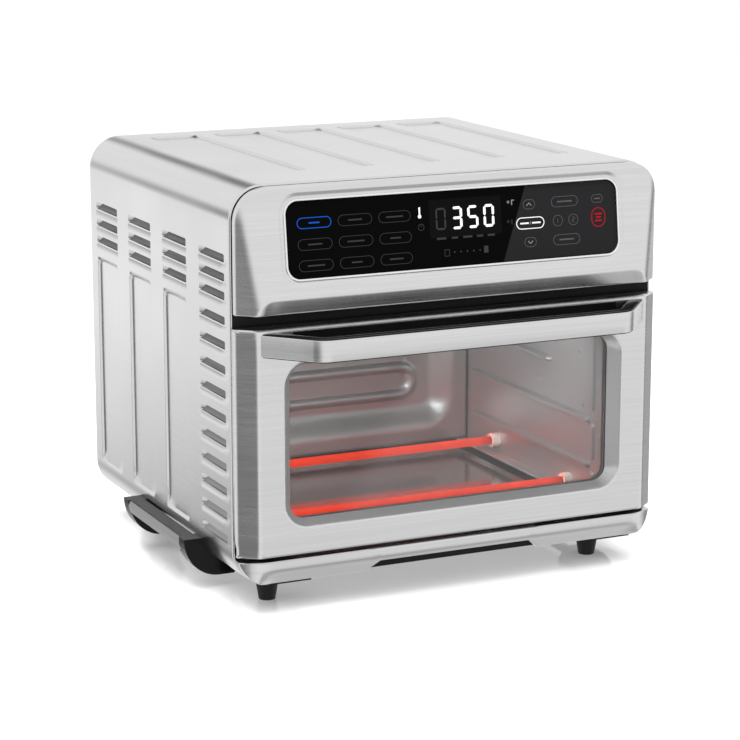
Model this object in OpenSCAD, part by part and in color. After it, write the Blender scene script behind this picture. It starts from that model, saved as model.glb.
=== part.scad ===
// Countertop toaster oven with a drop-down glass door, a sliding crumb tray and a convection fan.
// Millimetres. +X is the width, the front faces -Y, +Z is up and the feet stand on z = 0.
// Depths below are measured from the flat front face of the door (y = 0) and moved to the
// middle of the whole object by oven().

/* [Body] */
// Width of the outer shell
body_w = 412; // [360:1:500]
// Height of the top of the shell above the table
body_top = 373; // [355:1:460]
// Depth of the shell's rear edge behind the door's face
body_back = 378; // [350:1:460]
// Depth of the shell's front edge behind the door's face
body_front = 20; // [20:0.5:24]
// Height of the underside above the table
underside = 26; // [18:1:34]
// Radius of the shell's upper edges
top_r = 30; // [16:1:40]
// Radius of the shell's lower edges
bottom_r = 28; // [20:1:30]
// Thickness of the outer sheet steel
sheet = 1.2; // [0.8:0.1:1.6]
// Distance that the fronts stand in from the shell's side on each side
front_inset = 1; // [0.5:0.25:2]
// Width of the slanted facet down each side of the fronts
facet_w = 16; // [10:1:22]
// Depth of the slanted facet down each side of the fronts
facet_d = 13; // [8:1:15]

/* [Door] */
// Height of the door's lower edge above the table
door_bottom = 52.8; // [50:0.2:58]
// Height of the door
door_h = 198.5; // [170:0.5:215]
// Thickness of the door
door_t = 19.2; // [18:0.2:19.4]
// Height of the hinge axis above the door's lower edge
hinge_up = 8.2; // [7.5:0.1:9]
// Depth of the hinge axis behind the door's face
hinge_in = 8; // [7:0.25:9]
// Width of the steel around the window at each side
stile_w = 39; // [30:1:52]
// Height of the steel below the window
rail_low = 23; // [18:1:34]
// Height of the steel above the window
rail_high = 28; // [20:1:36]
// Radius of the window's corners
window_r = 23; // [18:1:28]
// Width of the bevel that leads in to the glass at the sides
window_bevel = 9; // [4:0.5:12]
// Height of the bevel that leads in to the glass above and below
window_bevel_z = 5; // [3:0.5:10]
// Depth of the glass behind the door's face
glass_in = 11; // [8:0.5:11.5]
// Thickness of the window glass
glass_t = 4; // [3:0.5:4]
// How far the handle stands out from the door
handle_reach = 45; // [35:1:55]
// Height of the steel band of the handle
handle_h = 18.5; // [14:0.5:24]
// Distance of the handle's top edge below the door's top edge
handle_drop = 3; // [2:0.5:10]
// Distance of the handle's ends from the door's sides
handle_end_in = 17.5; // [17:0.5:30]
// Width of each slanted end of the handle
handle_slant = 38.5; // [25:0.5:60]
// Radius of the two bends of the handle
handle_bend_r = 22; // [15:1:40]
// Thickness of the black core behind the steel band
handle_core_t = 12; // [8:0.5:16]

/* [Control panel] */
// Gap between the door's top edge and the control panel
panel_gap = 12.7; // [10:0.1:18]
// Height of the chamfer along the panel's lower edge
panel_chamfer = 13; // [8:0.5:18]
// How far the panel's face stands in front of the door's face at its lowest point
panel_lean = 3; // [1:0.5:6]
// How far the panel's face leans back over its height
panel_tilt_d = 12; // [6:0.5:15]
// Length of the display glass
display_w = 320; // [260:1:340]
// Height of the display glass
display_h = 65.5; // [50:0.5:70]
// Radius of the display's corners
display_r = 11; // [6:1:16]
// Height of the display's lower edge above the chamfer
display_up = 16.5; // [14:0.5:22]
// Depth of the display glass behind the panel's face
display_in = 2.8; // [2:0.2:4]
// Width of the pressed rim around the display
display_rim = 7.5; // [5:0.5:9]

/* [Cavity] */
// Inside width of the oven cavity
cavity_w = 330; // [280:1:336]
// Depth of the cavity's back wall behind the door's face
cavity_back_y = 300; // [270:1:330]
// Height of the cavity's lower edge above the table
cavity_floor = 54; // [53:0.5:58]
// Height of the cavity's ceiling above the table
cavity_top = 245; // [240:1:252]
// Thickness of the cavity's sheet steel
liner = 1; // [0.8:0.1:1.2]
// Height of the lowest rack rail above the table
rail_z = 82; // [78:1:90]
// Distance between rack rails
rail_pitch = 43; // [36:1:46]
// Depth of the dome pressed into the back wall
dome_d = 12; // [8:1:18]

/* [Heaters] */
// Radius of a heating tube
tube_r = 4; // [3:0.25:5]
// Depth of the front lower tube behind the door's face
tube_front_y = 90; // [80:1:105]
// Depth of the rear lower tube behind the door's face
tube_rear_y = 234; // [215:1:250]
// Height of the front lower tube above the table
tube_low_z = 61; // [60:0.5:66]
// How much higher the rear lower tube is
tube_rise = 6; // [0:0.5:8]
// Distance of the upper tubes below the ceiling
tube_high_drop = 13; // [10:1:20]
// Radius of the ceramic caps on the tubes
cap_r = 7; // [6:0.5:9]

/* [Convection] */
// Radius of the convection fan
fan_r = 60; // [45:1:66]
// Height of the fan housing
fan_housing_h = 29; // [24:1:32]
// Radius of the motor shaft
shaft_r = 3; // [2.5:0.25:4]
// Radius of the motor
motor_r = 28; // [22:1:32]
// Height of the motor
motor_h = 34; // [28:1:36]
// Depth of the fan's axis behind the door's face
fan_y = 165; // [150:1:185]

/* [Crumb tray] */
// Inside width of the tray's slot
tray_w = 302; // [250:1:306]
// Depth of the crumb tray, from the front panel's back to its rear rim
tray_len = 270; // [220:1:280]
// Height of the tray's floor above the table
tray_z = 43.5; // [42:0.25:44]
// Gap between the tray's front panel and the door
tray_gap = 4.3; // [4:0.1:5]
// Height of the front panel's upright part
tray_face_h = 9; // [6:0.5:12]
// Half width of the finger notch at its top
notch_half = 74; // [50:1:100]
// Height of the finger notch
notch_h = 9; // [6:0.5:10]

/* [Louvres] */
// Length of a louvre slot
slot_len = 58.6; // [48:0.2:64]
// Height of a louvre slot
slot_h = 7; // [5:0.5:8]
// Distance between louvre columns
column_pitch = 89.7; // [80:0.1:92]
// Distance of the first column from the shell's front edge
column_start = 12; // [9:0.5:18]
// Depth of the highest row's middle below the top of the shell
row_drop = 63; // [55:1:70]
// Distance between the three upper rows
row_pitch_top = 16.2; // [13:0.2:18]
// Distance between the rows of the front column below them
row_pitch = 21.4; // [18:0.2:22]
// Rows in the front column
rows = 13; // [8:1:13]
// Depth of the pressed panels
press_d = 2.2; // [1:0.2:3]

/* [Carry handles] */
// Depth of the carry handle's front end behind the door's face
carry_front = 96; // [70:1:120]
// Length of the carry handle
carry_len = 158; // [120:1:200]
// How far the carry handle stands out from the shell
carry_out = 16; // [14:0.5:26]
// Height of the carry handle's grip
carry_h = 12; // [10:0.5:18]
// Thickness of the carry handle's grip
carry_grip_t = 9; // [7:0.5:12]
// Height of the grip's top above the underside
carry_up = 22; // [18:0.5:26]
// Thickness of the lip that closes the top of the gap behind the grip
carry_lip = 4; // [2:0.5:6]
// Width of each arm of the carry handle
carry_arm = 16; // [10:1:24]

/* [Feet] */
// Distance of the feet from the shell's sides
foot_in = 44; // [36:1:60]
// Depth of the front feet behind the door's face
foot_front_y = 50; // [42:1:70]
// Distance of the rear feet from the shell's rear edge
foot_rear_in = 40; // [30:1:60]
// Radius of a foot where it meets the table
foot_r = 7.5; // [6:0.5:12]
// Radius of a foot where it meets the oven
foot_top_r = 11; // [9:0.5:14]
// Length of the strip that runs from a foot towards the right
foot_strip = 34; // [14:1:40]
// Thickness of the strip beside a foot
foot_strip_t = 8; // [4:1:12]
// Length of the spacers on the rear panel
spacer_len = 13; // [6:1:20]

/* [Fits] */
// Radius of the hinge pins
pin_r = 3; // [2:0.25:3.5]
// Radial clearance of a turning fit
run_fit = 0.06; // [0.03:0.01:0.1]
// Gap between sliding or neighbouring pieces
slide_fit = 0.3; // [0.2:0.05:0.5]
// Radius of the sheet metal screws
screw_r = 2; // [1.5:0.25:2.5]

/* [Hidden] */
$fn = 48;
eps = 1;

half_w = body_w / 2;
front_half = half_w - front_inset;
face_half = front_half - facet_w;
mid_y = (body_back + spacer_len - 1 - handle_reach) / 2;
frame_y = body_front + 0.5;
frame_t = 1.5;
frame_back = frame_y + frame_t;
rear_y = body_back - 2.5;
lip_x = half_w - bottom_r - 2;

door_top = door_bottom + door_h;
hinge_z = door_bottom + hinge_up;
window_half = front_half - stile_w;
window_low = door_bottom + rail_low;
window_high = door_top - rail_high;
window_h = window_high - window_low;
window_z = (window_low + window_high) / 2;
inner_t = 1.2;
inner_y = door_t - inner_t;
glass_lap = 6;

handle_top = door_top - handle_drop;
handle_z = handle_top - handle_h / 2;
handle_half = front_half - handle_end_in;
bend_half = handle_half - handle_slant;
slant_angle = atan2(handle_reach, handle_slant);

panel_low = door_top + panel_gap;
face_low = panel_low + panel_chamfer;
face_top = body_top - sheet - 0.1;
face_run = face_top - face_low;
panel_tilt = atan2(panel_tilt_d, face_run);
display_mid = display_up + display_h / 2;

cavity_half = cavity_w / 2;
tube_high_z = cavity_top - tube_high_drop;
tube_ends = cavity_half + 10;

shield_z = cavity_top + 1.2 + fan_housing_h;
bracket_z = shield_z + 1 + 10;
motor_z = bracket_z + 2;
cooling_z = motor_z + motor_h + 8;
shaft_top = cooling_z + 14;

tray_top = door_bottom - tray_gap;
tray_half = tray_w / 2;
ear_x = front_half - 29;
ear_t = 2;
arm_x = ear_x + 7;
arm_t = 3;
bracket_w = 8;
arc_in = 45;
arc_out = 55;

slot_rows = [for (i = [0 : rows - 1]) body_top - row_drop - (i < 3 ? i * row_pitch_top
    : 2 * row_pitch_top + (i - 2) * row_pitch)];
column_y = [for (i = [0 : 3]) body_front + column_start + i * column_pitch];
press_high = slot_rows[2] - 17;
press_low = underside + 30;
top_panels = 5;
top_panel_w = body_w * 0.119;
top_panel_pitch = (body_w - 85) / top_panels;

carry_back = carry_front + carry_len;
carry_top = underside + carry_up;
foot_x = half_w - foot_in;
foot_rear_y = body_back - foot_rear_in;

gland_x = half_w - 76;
gland_z = underside + 34;
gland_r = 9;
lamp_y = cavity_back_y - 90;
lamp_z = cavity_top - 45;
lamp_r = 16;
probe_y = cavity_back_y - 40;
probe_z = tube_high_z;
racetrack_z = 118;
racetrack_half = 93;
racetrack_r = 20;

// ---------------------------------------------------------------- helpers

// The whole oven, moved so that the origin lies under its middle
module oven() translate([0, -mid_y, 0]) children();

// A block between two corners
module block(x0, x1, y0, y1, z0, z1) translate([x0, y0, z0]) cube([x1 - x0, y1 - y0, z1 - z0]);

// A front-view outline (x, z) made solid from depth y0 to y1
module along_y(y0, y1) translate([0, y1, 0]) rotate([90, 0, 0]) linear_extrude(y1 - y0) children();

// A side-view outline (y, z) made solid from x0 to x1
module along_x(x0, x1) translate([x0, 0, 0]) rotate([90, 0, 90]) linear_extrude(x1 - x0) children();

// A plan-view outline (x, y) made solid from z0 to z1
module plan(z0, z1) translate([0, 0, z0]) linear_extrude(z1 - z0) children();

// A round bar along y
module rod_y(x, z, r, y0, y1) translate([x, y1, z]) rotate([90, 0, 0]) cylinder(r = r, h = y1 - y0);

// A round bar along x
module rod_x(y, z, r, x0, x1) translate([x0, y, z]) rotate([0, 90, 0]) cylinder(r = r, h = x1 - x0);

// A round bar along z
module rod_z(x, y, r, z0, z1) translate([x, y, z0]) cylinder(r = r, h = z1 - z0);

module both_sides() {
    children();
    mirror([1, 0, 0]) children();
}

// Rounded rectangle about the origin
module rounded(w, h, r) {
    square([w - 2 * r, h], center = true);
    square([w, h - 2 * r], center = true);
    for (x = [-1, 1], y = [-1, 1]) translate([x * (w / 2 - r), y * (h / 2 - r)]) circle(r);
}

// Front outline of the body, moved in by a distance
module body_outline(inset) {
    w = half_w - inset;
    low = underside + inset;
    high = body_top - inset;
    rt = top_r - inset;
    rb = bottom_r - inset;
    translate([-w, low + rb]) square([2 * w, high - low - rt - rb]);
    translate([-w + rt, low + rb]) square([2 * (w - rt), high - low - rb]);
    translate([-w + rb, low]) square([2 * (w - rb), high - low - rt]);
    for (s = [-1, 1]) {
        translate([s * (w - rt), high - rt]) circle(rt);
        translate([s * (w - rb), low + rb]) circle(rb);
    }
}

// Plan outline of the fronts, with a slanted facet at each side
module faceted_plan(inset, front, back) {
    f = front_half - inset;
    n = face_half - inset * 0.4;
    polygon([[-f, back], [-f, facet_d], [-n, front + inset], [n, front + inset], [f, facet_d], [f, back]]);
}

// ---------------------------------------------------------------- outer body

// One slot of the louvres, cut through both side walls
module slot_cut(y, z) {
    block(-half_w - eps, half_w + eps, y + slot_h / 2, y + slot_len - slot_h / 2, z - slot_h / 2, z + slot_h / 2);
    for (e = [slot_h / 2, slot_len - slot_h / 2]) rod_x(y + e, z, slot_h / 2, -half_w - eps, half_w + eps);
}

// The leaning flap behind one slot, seen along the depth
module flap(z) polygon([
    [half_w - sheet, z - slot_h / 2], [half_w - sheet - 5, z + slot_h / 2],
    [half_w - sheet - 6, z + slot_h / 2], [half_w - sheet - 1, z - slot_h / 2 - 2],
    [half_w - sheet, z - slot_h / 2 - 2]]);

// A tray-shaped pressing that closes a hole in the side wall
module side_press(y0, y1) difference() {
    block(half_w - sheet - press_d, half_w, y0, y1, press_low, press_high);
    block(half_w - press_d, half_w + eps, y0 + sheet, y1 - sheet, press_low + sheet, press_high - sheet);
}

module top_press(x) difference() {
    block(x - top_panel_w / 2, x + top_panel_w / 2, body_front + 63, body_back - 28,
        body_top - sheet - press_d, body_top);
    block(x - top_panel_w / 2 + sheet, x + top_panel_w / 2 - sheet, body_front + 63 + sheet,
        body_back - 28 - sheet, body_top - press_d, body_top + eps);
}

function top_panel_x(i) = (i - (top_panels - 1) / 2) * top_panel_pitch;

module outer_shell() color("silver") oven() {
    difference() {
        along_y(body_front, body_back) difference() {
            body_outline(0);
            body_outline(sheet);
            translate([-lip_x, underside - eps]) square([2 * lip_x, 3]);
        }
        for (z = slot_rows) slot_cut(column_y[0], z);
        for (i = [1 : 3], j = [0 : 2]) slot_cut(column_y[i], slot_rows[j]);
        for (i = [1 : 3]) both_sides()
            block(half_w - 2 * sheet, half_w + eps, column_y[i] + 1, column_y[i] + slot_len - 1,
                press_low + 1, press_high - 1);
        for (i = [0 : top_panels - 1])
            block(top_panel_x(i) - top_panel_w / 2 + 1, top_panel_x(i) + top_panel_w / 2 - 1,
                body_front + 64, body_back - 29, body_top - 2 * sheet, body_top + eps);
    }
    both_sides() {
        along_y(column_y[0] + 4, column_y[0] + slot_len - 4) for (z = slot_rows) flap(z);
        for (i = [1 : 3]) {
            along_y(column_y[i] + 4, column_y[i] + slot_len - 4) for (j = [0 : 2]) flap(slot_rows[j]);
            side_press(column_y[i], column_y[i] + slot_len);
        }
    }
    for (i = [0 : top_panels - 1]) top_press(top_panel_x(i));
}

module base_plate() color("gray") oven() difference() {
    union() {
        block(-lip_x, lip_x, frame_back, rear_y, underside, underside + sheet);
        both_sides() block(lip_x - 10, half_w - bottom_r, frame_back, rear_y, underside + sheet,
            underside + 2 * sheet);
    }
    for (x = [-6 : 6], y = [0 : 5]) block(x * 18 - 6, x * 18 + 6, 250 + y * 12, 254 + y * 12,
        underside - eps, underside + sheet + eps);
    for (x = [-foot_x, foot_x], y = [foot_front_y, foot_rear_y]) rod_z(x, y, screw_r, underside - eps,
        underside + 3 * sheet);
}

module rear_panel() color("gainsboro") oven() difference() {
    along_y(rear_y, rear_y + 1.5) body_outline(sheet + 0.1);
    for (row = [0 : 8], s = [-1, 0, 1]) translate([s * 105, 0, 190 + row * 14]) along_y(rear_y - eps,
        rear_y + 3) rounded(84, 5, 2.4);
    rod_y(gland_x, gland_z, gland_r, rear_y - eps, rear_y + 3);
    for (p = rear_screw_places()) rod_y(p[0], p[1], screw_r, rear_y - eps, rear_y + 3);
    for (s = [-1, 1]) rod_y(s * spacer_x, spacer_z, screw_r, rear_y - eps, rear_y + 3);
}

function rear_screw_places() = [for (x = [-1, 0, 1], z = [underside + 14, body_top - 16])
    [x * (half_w - 40), z]];
spacer_x = half_w - 66;
spacer_z = body_top - 75;

module front_frame() color("black") oven() difference() {
    along_y(frame_y, frame_back) body_outline(sheet + 0.1);
    block(-cavity_half, cavity_half, frame_y - eps, frame_back + eps, cavity_floor, cavity_top);
    block(-tray_half - 0.5, tray_half + 0.5, frame_y - eps, frame_back + eps, tray_z - 0.7, tray_top + 0.5);
    block(-110, 110, frame_y - eps, frame_back + eps, panel_low + 30, body_top - 25);
    both_sides() {
        block(arm_x - 1, arm_x + arm_t + 1, frame_y - eps, frame_back + eps, hinge_z + arc_in - 4,
            hinge_z + arc_out + 1);
        block(ear_x, ear_x + ear_t, frame_y - eps, frame_back + eps, hinge_z - 6, hinge_z + 6);
        for (z = panel_screw_heights()) rod_y(panel_screw_x, z, screw_r, frame_y - eps, frame_back + eps);
    }
    rod_y(switch_x, switch_z, 3, frame_y - eps, frame_back + eps);
}

switch_x = front_half - 25;
switch_z = door_top - 22;
panel_screw_x = front_half - 26;
function panel_screw_heights() = [panel_low + 24, body_top - 34];

// ---------------------------------------------------------------- control panel

// Space of the panel's leaning face: x along it, z up it and y into it
module panel_space() translate([0, -panel_lean, face_low]) rotate([-panel_tilt, 0, 0]) children();

module panel_solid(inset) intersection() {
    along_y(-10, body_front) intersection() {
        body_outline(front_inset + inset);
        translate([-half_w, panel_low + inset]) square([body_w, body_top]);
    }
    plan(0, body_top + 10) faceted_plan(inset, -10, body_front);
    along_x(-half_w, half_w) polygon([
        [body_front, panel_low], [inset, panel_low + inset], [-panel_lean + inset, face_low],
        [-panel_lean + panel_tilt_d + inset, face_top], [body_front, face_top]]);
}

module panel_bosses(y0, y1) both_sides() for (z = panel_screw_heights()) rod_y(panel_screw_x, z, 5, y0, y1);

module control_bezel() color("silver") oven() difference() {
    union() {
        difference() {
            panel_solid(0);
            intersection() {
                panel_solid(1.6);
                block(-half_w, half_w, -20, body_front + eps, 0, body_top - 4);
            }
        }
        intersection() {
            panel_solid(0.2);
            panel_space() difference() {
                translate([0, 0, display_mid]) along_y(1, display_in + 3) rounded(display_w + 2 * display_rim,
                    display_h + 2 * display_rim, display_r + display_rim);
                translate([0, 0, display_mid]) along_y(-eps, 10) rounded(display_w + 0.2, display_h + 0.2,
                    display_r + 0.1);
            }
        }
        intersection() {
            panel_solid(0.5);
            panel_bosses(-10, body_front);
        }
        panel_bosses(body_front - 0.5, frame_y);
    }
    panel_space() translate([0, 0, display_mid]) along_y(-eps, display_in - 1) rounded(
        display_w + 2 * display_rim - 2, display_h + 2 * display_rim - 2, display_r + display_rim - 1);
    panel_space() translate([0, 0, display_mid]) along_y(-eps, 6) rounded(display_w + 0.2,
        display_h + 0.2, display_r + 0.1);
    both_sides() for (z = panel_screw_heights()) rod_y(panel_screw_x, z, screw_r, 15, frame_back);
}

module panel_slab(y0, y1, w, h, r) panel_space() translate([0, 0, display_mid]) along_y(y0, y1) rounded(w, h, r);

module display_glass() color("black") oven() panel_slab(display_in, display_in + 3, display_w, display_h, display_r);

module display_module() color("dimgray") oven() difference() {
    panel_slab(display_in + 3, display_in + 5.5, 150, 44, 2);
    panel_slab(display_in + 2, display_in + 3.6, 60, 20, 2);
}

module control_board() color("darkgreen") oven() panel_slab(display_in + 5.5, display_in + 7.1, 300, 54, 3);

// ---------------------------------------------------------------- upper compartment

board_z = shield_z + 9;

module power_board() color("darkgreen") oven() {
    block(76, 182, 60, 220, board_z, board_z + 1.6);
    for (x = [82, 176], y = [66, 214]) rod_z(x, y, 3, shield_z + 1, board_z);
    block(84, 118, 74, 108, board_z + 1.6, board_z + 30);
    for (i = [0 : 2]) block(128 + i * 17, 142 + i * 17, 74, 100, board_z + 1.6, board_z + 17);
    for (i = [0 : 2]) rod_z(92 + i * 20, 130, 7, board_z + 1.6, board_z + 24);
    for (i = [0 : 5]) block(150 + i * 4, 151.5 + i * 4, 120, 170, board_z + 1.6, board_z + 26);
    block(148, 174, 120, 170, board_z + 1.6, board_z + 4);
    block(86, 140, 180, 206, board_z + 1.6, board_z + 12);
}

module heat_shield() color("lightgray") oven() difference() {
    union() {
        block(-half_w + 10, half_w - 10, frame_back, rear_y, shield_z, shield_z + 1);
        for (i = [0 : 2]) block(-half_w + sheet, half_w - sheet, column_y[i] + slot_len + 4,
            column_y[i + 1] - 4, shield_z, shield_z + 1);
    }
    rod_z(0, fan_y, 10, shield_z - eps, shield_z + 3);
    for (i = [0 : 5]) block(-170, -100, 240 + i * 18, 246 + i * 18, shield_z - eps, shield_z + 3);
}

module motor_bracket() color("silver") oven() difference() {
    union() {
        block(-48, 48, fan_y - 18, fan_y + 18, bracket_z, motor_z);
        both_sides() {
            block(46, 48, fan_y - 18, fan_y + 18, shield_z + 1, bracket_z);
            block(46, 60, fan_y - 18, fan_y + 18, shield_z + 1, shield_z + 3);
        }
    }
    rod_z(0, fan_y, 9, bracket_z - eps, motor_z + eps);
}

module motor_body() color("darkgray") oven() difference() {
    union() {
        rod_z(0, fan_y, motor_r, motor_z, motor_z + motor_h);
        rod_z(0, fan_y, 10, motor_z + motor_h, motor_z + motor_h + 3);
        block(-motor_r - 8, motor_r + 8, fan_y - 7, fan_y + 7, motor_z, motor_z + 3);
    }
    rod_z(0, fan_y, shaft_r + run_fit, motor_z - eps, motor_z + motor_h + 5);
}

module motor_shaft() color("lightgray") oven() rod_z(0, fan_y, shaft_r, cavity_top + 5, shaft_top);

module convection_fan() color("silver") oven() difference() {
    union() {
        rod_z(0, fan_y, 9, cavity_top + 7, cavity_top + 20);
        rod_z(0, fan_y, fan_r, cavity_top + 7, cavity_top + 8);
        for (i = [0 : 9]) translate([0, fan_y, 0]) rotate(i * 36) block(20, fan_r - 1, -0.5, 0.5,
            cavity_top + 8, cavity_top + 20);
    }
    rod_z(0, fan_y, shaft_r, cavity_top, cavity_top + 30);
}

module cooling_fan() color("whitesmoke") oven() difference() {
    union() {
        rod_z(0, fan_y, 9, cooling_z, cooling_z + 11);
        for (i = [0 : 6]) translate([0, fan_y, cooling_z + 5.5]) rotate(i * 360 / 7) rotate([32, 0, 0])
            block(6, 42, -7, 7, -0.6, 0.6);
    }
    rod_z(0, fan_y, shaft_r, cooling_z - 8, cooling_z + 30);
}

module fan_housing() color("silver") oven() difference() {
    union() {
        rod_z(0, fan_y, fan_r + 14, cavity_top + 1.2, shield_z);
        rod_z(0, fan_y, fan_r + 24, cavity_top + 1.2, cavity_top + 2.2);
    }
    rod_z(0, fan_y, fan_r + 13, cavity_top, shield_z - 1);
    rod_z(0, fan_y, 9, shield_z - 2, shield_z + 1);
}

// ---------------------------------------------------------------- cavity

module rail(z) block(cavity_half - 5, cavity_half, frame_back + 22, cavity_back_y - 14, z, z + 5);

module cavity_liner() color("darkgray") oven() both_sides() difference() {
    union() {
        block(cavity_half, cavity_half + liner, frame_back, cavity_back_y + liner, cavity_floor, cavity_top);
        block(cavity_half - 14, cavity_half + liner, frame_back, cavity_back_y + liner,
            cavity_floor - liner, cavity_floor);
        block(cavity_half, cavity_half + 2.5, frame_back, frame_back + liner, cavity_floor - liner, cavity_top);
        for (i = [0 : 2]) rail(rail_z + i * rail_pitch);
    }
    for (p = tube_places()) rod_x(p[0], p[1], cap_r - 2, cavity_half - 20, cavity_half + 20);
    rod_x(lamp_y, lamp_z, lamp_r, cavity_half - 20, cavity_half + 20);
    rod_x(probe_y, probe_z, 3, cavity_half - 20, cavity_half + 20);
}

function tube_places() = [[tube_front_y, tube_low_z], [tube_rear_y, tube_low_z + tube_rise],
    [tube_front_y, tube_high_z], [tube_rear_y, tube_high_z]];

module cavity_back() color("darkgray") oven() difference() {
    union() {
        block(-cavity_half, cavity_half, cavity_back_y, cavity_back_y + liner, cavity_floor, cavity_top);
        translate([0, 0, dome_z]) along_y(cavity_back_y, cavity_back_y + dome_d + liner) rounded(dome_w,
            dome_h, 26);
        translate([0, 0, racetrack_z]) along_y(cavity_back_y + dome_d - 4, cavity_back_y + dome_d) rounded(
            2 * (racetrack_half + racetrack_r), 2 * racetrack_r, racetrack_r - 0.1);
    }
    difference() {
        translate([0, 0, dome_z]) along_y(cavity_back_y - eps, cavity_back_y + dome_d) rounded(dome_w - 2,
            dome_h - 2, 25);
        translate([0, 0, racetrack_z]) along_y(cavity_back_y + dome_d - 4, cavity_back_y + dome_d + 1) rounded(
            2 * (racetrack_half + racetrack_r), 2 * racetrack_r, racetrack_r - 0.1);
    }
    for (s = [-1, 1]) rod_y(s * racetrack_half, racetrack_z, screw_r, cavity_back_y, cavity_back_y + 30);
}

dome_w = cavity_w - 30;
dome_h = cavity_top - cavity_floor - 26;
dome_z = (cavity_top + cavity_floor) / 2;

module ceiling_grille() color("darkgray") oven() difference() {
    block(-cavity_half - liner, cavity_half + liner, frame_back, cavity_back_y + liner, cavity_top,
        cavity_top + 1.2);
    for (ring = [1 : 5], i = [0 : 6 * ring - 1]) rod_z(ring * 10 * cos(i * 60 / ring),
        fan_y + ring * 10 * sin(i * 60 / ring), 2.6, cavity_top - eps, cavity_top + 3);
}

module tube(y, z) rod_x(y, z, tube_r, -tube_ends, tube_ends);

module heater_lower_front() color("orangered") oven() tube(tube_front_y, tube_low_z);
module heater_lower_rear() color("orangered") oven() tube(tube_rear_y, tube_low_z + tube_rise);
module heater_upper_front() color("gray") oven() tube(tube_front_y, tube_high_z);
module heater_upper_rear() color("gray") oven() tube(tube_rear_y, tube_high_z);

module heater_caps() color("ivory") oven() both_sides() for (p = tube_places()) difference() {
    union() {
        rod_x(p[0], p[1], cap_r, cavity_half - 8, cavity_half);
        rod_x(p[0], p[1], cap_r - 2, cavity_half, cavity_half + liner);
        rod_x(p[0], p[1], cap_r, cavity_half + liner, tube_ends - 1);
    }
    rod_x(p[0], p[1], tube_r, cavity_half - 9, tube_ends);
}

module heat_probe() color("silver") oven() {
    rod_x(probe_y, probe_z, 3, cavity_half - 26, cavity_half + liner);
    rod_x(probe_y, probe_z, 6, cavity_half + liner, cavity_half + liner + 4);
}

module thermal_cutout() color("dimgray") oven() {
    rod_z(-cavity_half + 50, fan_y, 8, cavity_top + 1.2, cavity_top + 9);
    block(-cavity_half + 38, -cavity_half + 62, fan_y - 3, fan_y + 3, cavity_top + 1.2, cavity_top + 2.4);
}

module lamp_holder() color("dimgray") oven() difference() {
    rod_x(lamp_y, lamp_z, lamp_r + 3, cavity_half + liner, cavity_half + 27);
    rod_x(lamp_y, lamp_z, lamp_r + 1, cavity_half, cavity_half + 25);
}

module lamp_bulb() color("white") oven() {
    rod_x(lamp_y, lamp_z, 6, cavity_half + 6, cavity_half + 17);
    rod_x(lamp_y, lamp_z, 4, cavity_half + 17, cavity_half + 25);
}

module lamp_lens() color("whitesmoke") oven() {
    rod_x(lamp_y, lamp_z, lamp_r, cavity_half - 2, cavity_half + liner);
    rod_x(lamp_y, lamp_z, lamp_r + 1, cavity_half + liner, cavity_half + liner + 1.5);
}

// ---------------------------------------------------------------- door

module window_hole(in_x, in_z, y0, y1) translate([0, 0, window_z]) along_y(y0, y1) rounded(
    2 * (window_half - in_x), window_h - 2 * in_z, window_r - in_x);

module door_skin() color("silver") oven() difference() {
    union() {
        difference() {
            plan(door_bottom, door_top) faceted_plan(0, 0, door_t);
            plan(door_bottom + sheet, door_top - sheet) faceted_plan(sheet, 0, door_t + eps);
        }
        window_hole(-2, -2, sheet / 2, glass_in);
    }
    hull() {
        window_hole(0, 0, -0.01, 0);
        window_hole(window_bevel, window_bevel_z, glass_in, glass_in + 0.01);
    }
    block(-half_w, half_w, 14.2, door_t + eps, door_bottom - eps, hinge_z + 1);
    both_sides() {
        block(ear_x - 1.5, ear_x + ear_t + 1.5, 1.5, door_t, door_bottom - eps, door_bottom + 3);
        rod_y(handle_screw_x, handle_z, screw_r, -eps, 5);
    }
}

handle_screw_x = handle_half - 12;

module door_inner_panel() color("gainsboro") oven() difference() {
    block(-front_half + sheet, front_half - sheet, inner_y, door_t, hinge_z + 1, door_top - sheet);
    window_hole(window_bevel, window_bevel_z, inner_y - eps, door_t + eps);
    both_sides() {
        block(ear_x - 1.5, ear_x + ear_t + 1.5, inner_y - eps, door_t + eps, hinge_z, hinge_z + 9);
        block(arm_x - 0.5, arm_x + arm_t + 0.5, inner_y - eps, door_t + eps, hinge_z + arc_in - 5,
            hinge_z + arc_out + 1);
    }
}

// Outline of the glass, larger than the clear window by a lap all round
module pane(lap) rounded(2 * (window_half - window_bevel + lap), window_h - 2 * window_bevel_z + 2 * lap,
    window_r - window_bevel);

module door_glass() color("dimgray") oven() translate([0, 0, window_z])
    along_y(glass_in, glass_in + glass_t) pane(glass_lap);

module window_seal() color("black") oven() translate([0, 0, window_z])
    along_y(glass_in + glass_t, inner_y) difference() {
        pane(glass_lap);
        pane(1);
    }

// Plan outline of the handle's bow, moved in by a distance from its outer face
function bow_bend(inset) = [for (i = [0 : 8]) let (a = -90 + slant_angle * i / 8,
    r = handle_bend_r - inset, cx = bend_half - handle_bend_r * tan(slant_angle / 2))
    [cx + r * cos(a), -handle_reach + handle_bend_r + r * sin(a)]];
function bow_half(inset) = concat(bow_bend(inset), [[handle_half - inset / sin(slant_angle), 0]]);
function mirrored(points) = [for (i = [len(points) - 1 : -1 : 0]) [-points[i][0], points[i][1]]];

module bow(from, to) difference() {
    polygon(concat(mirrored(bow_half(from)), bow_half(from)));
    polygon(concat(mirrored(bow_half(to)), bow_half(to), [[handle_half - to / sin(slant_angle), eps],
        [-handle_half + to / sin(slant_angle), eps]]));
}

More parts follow.
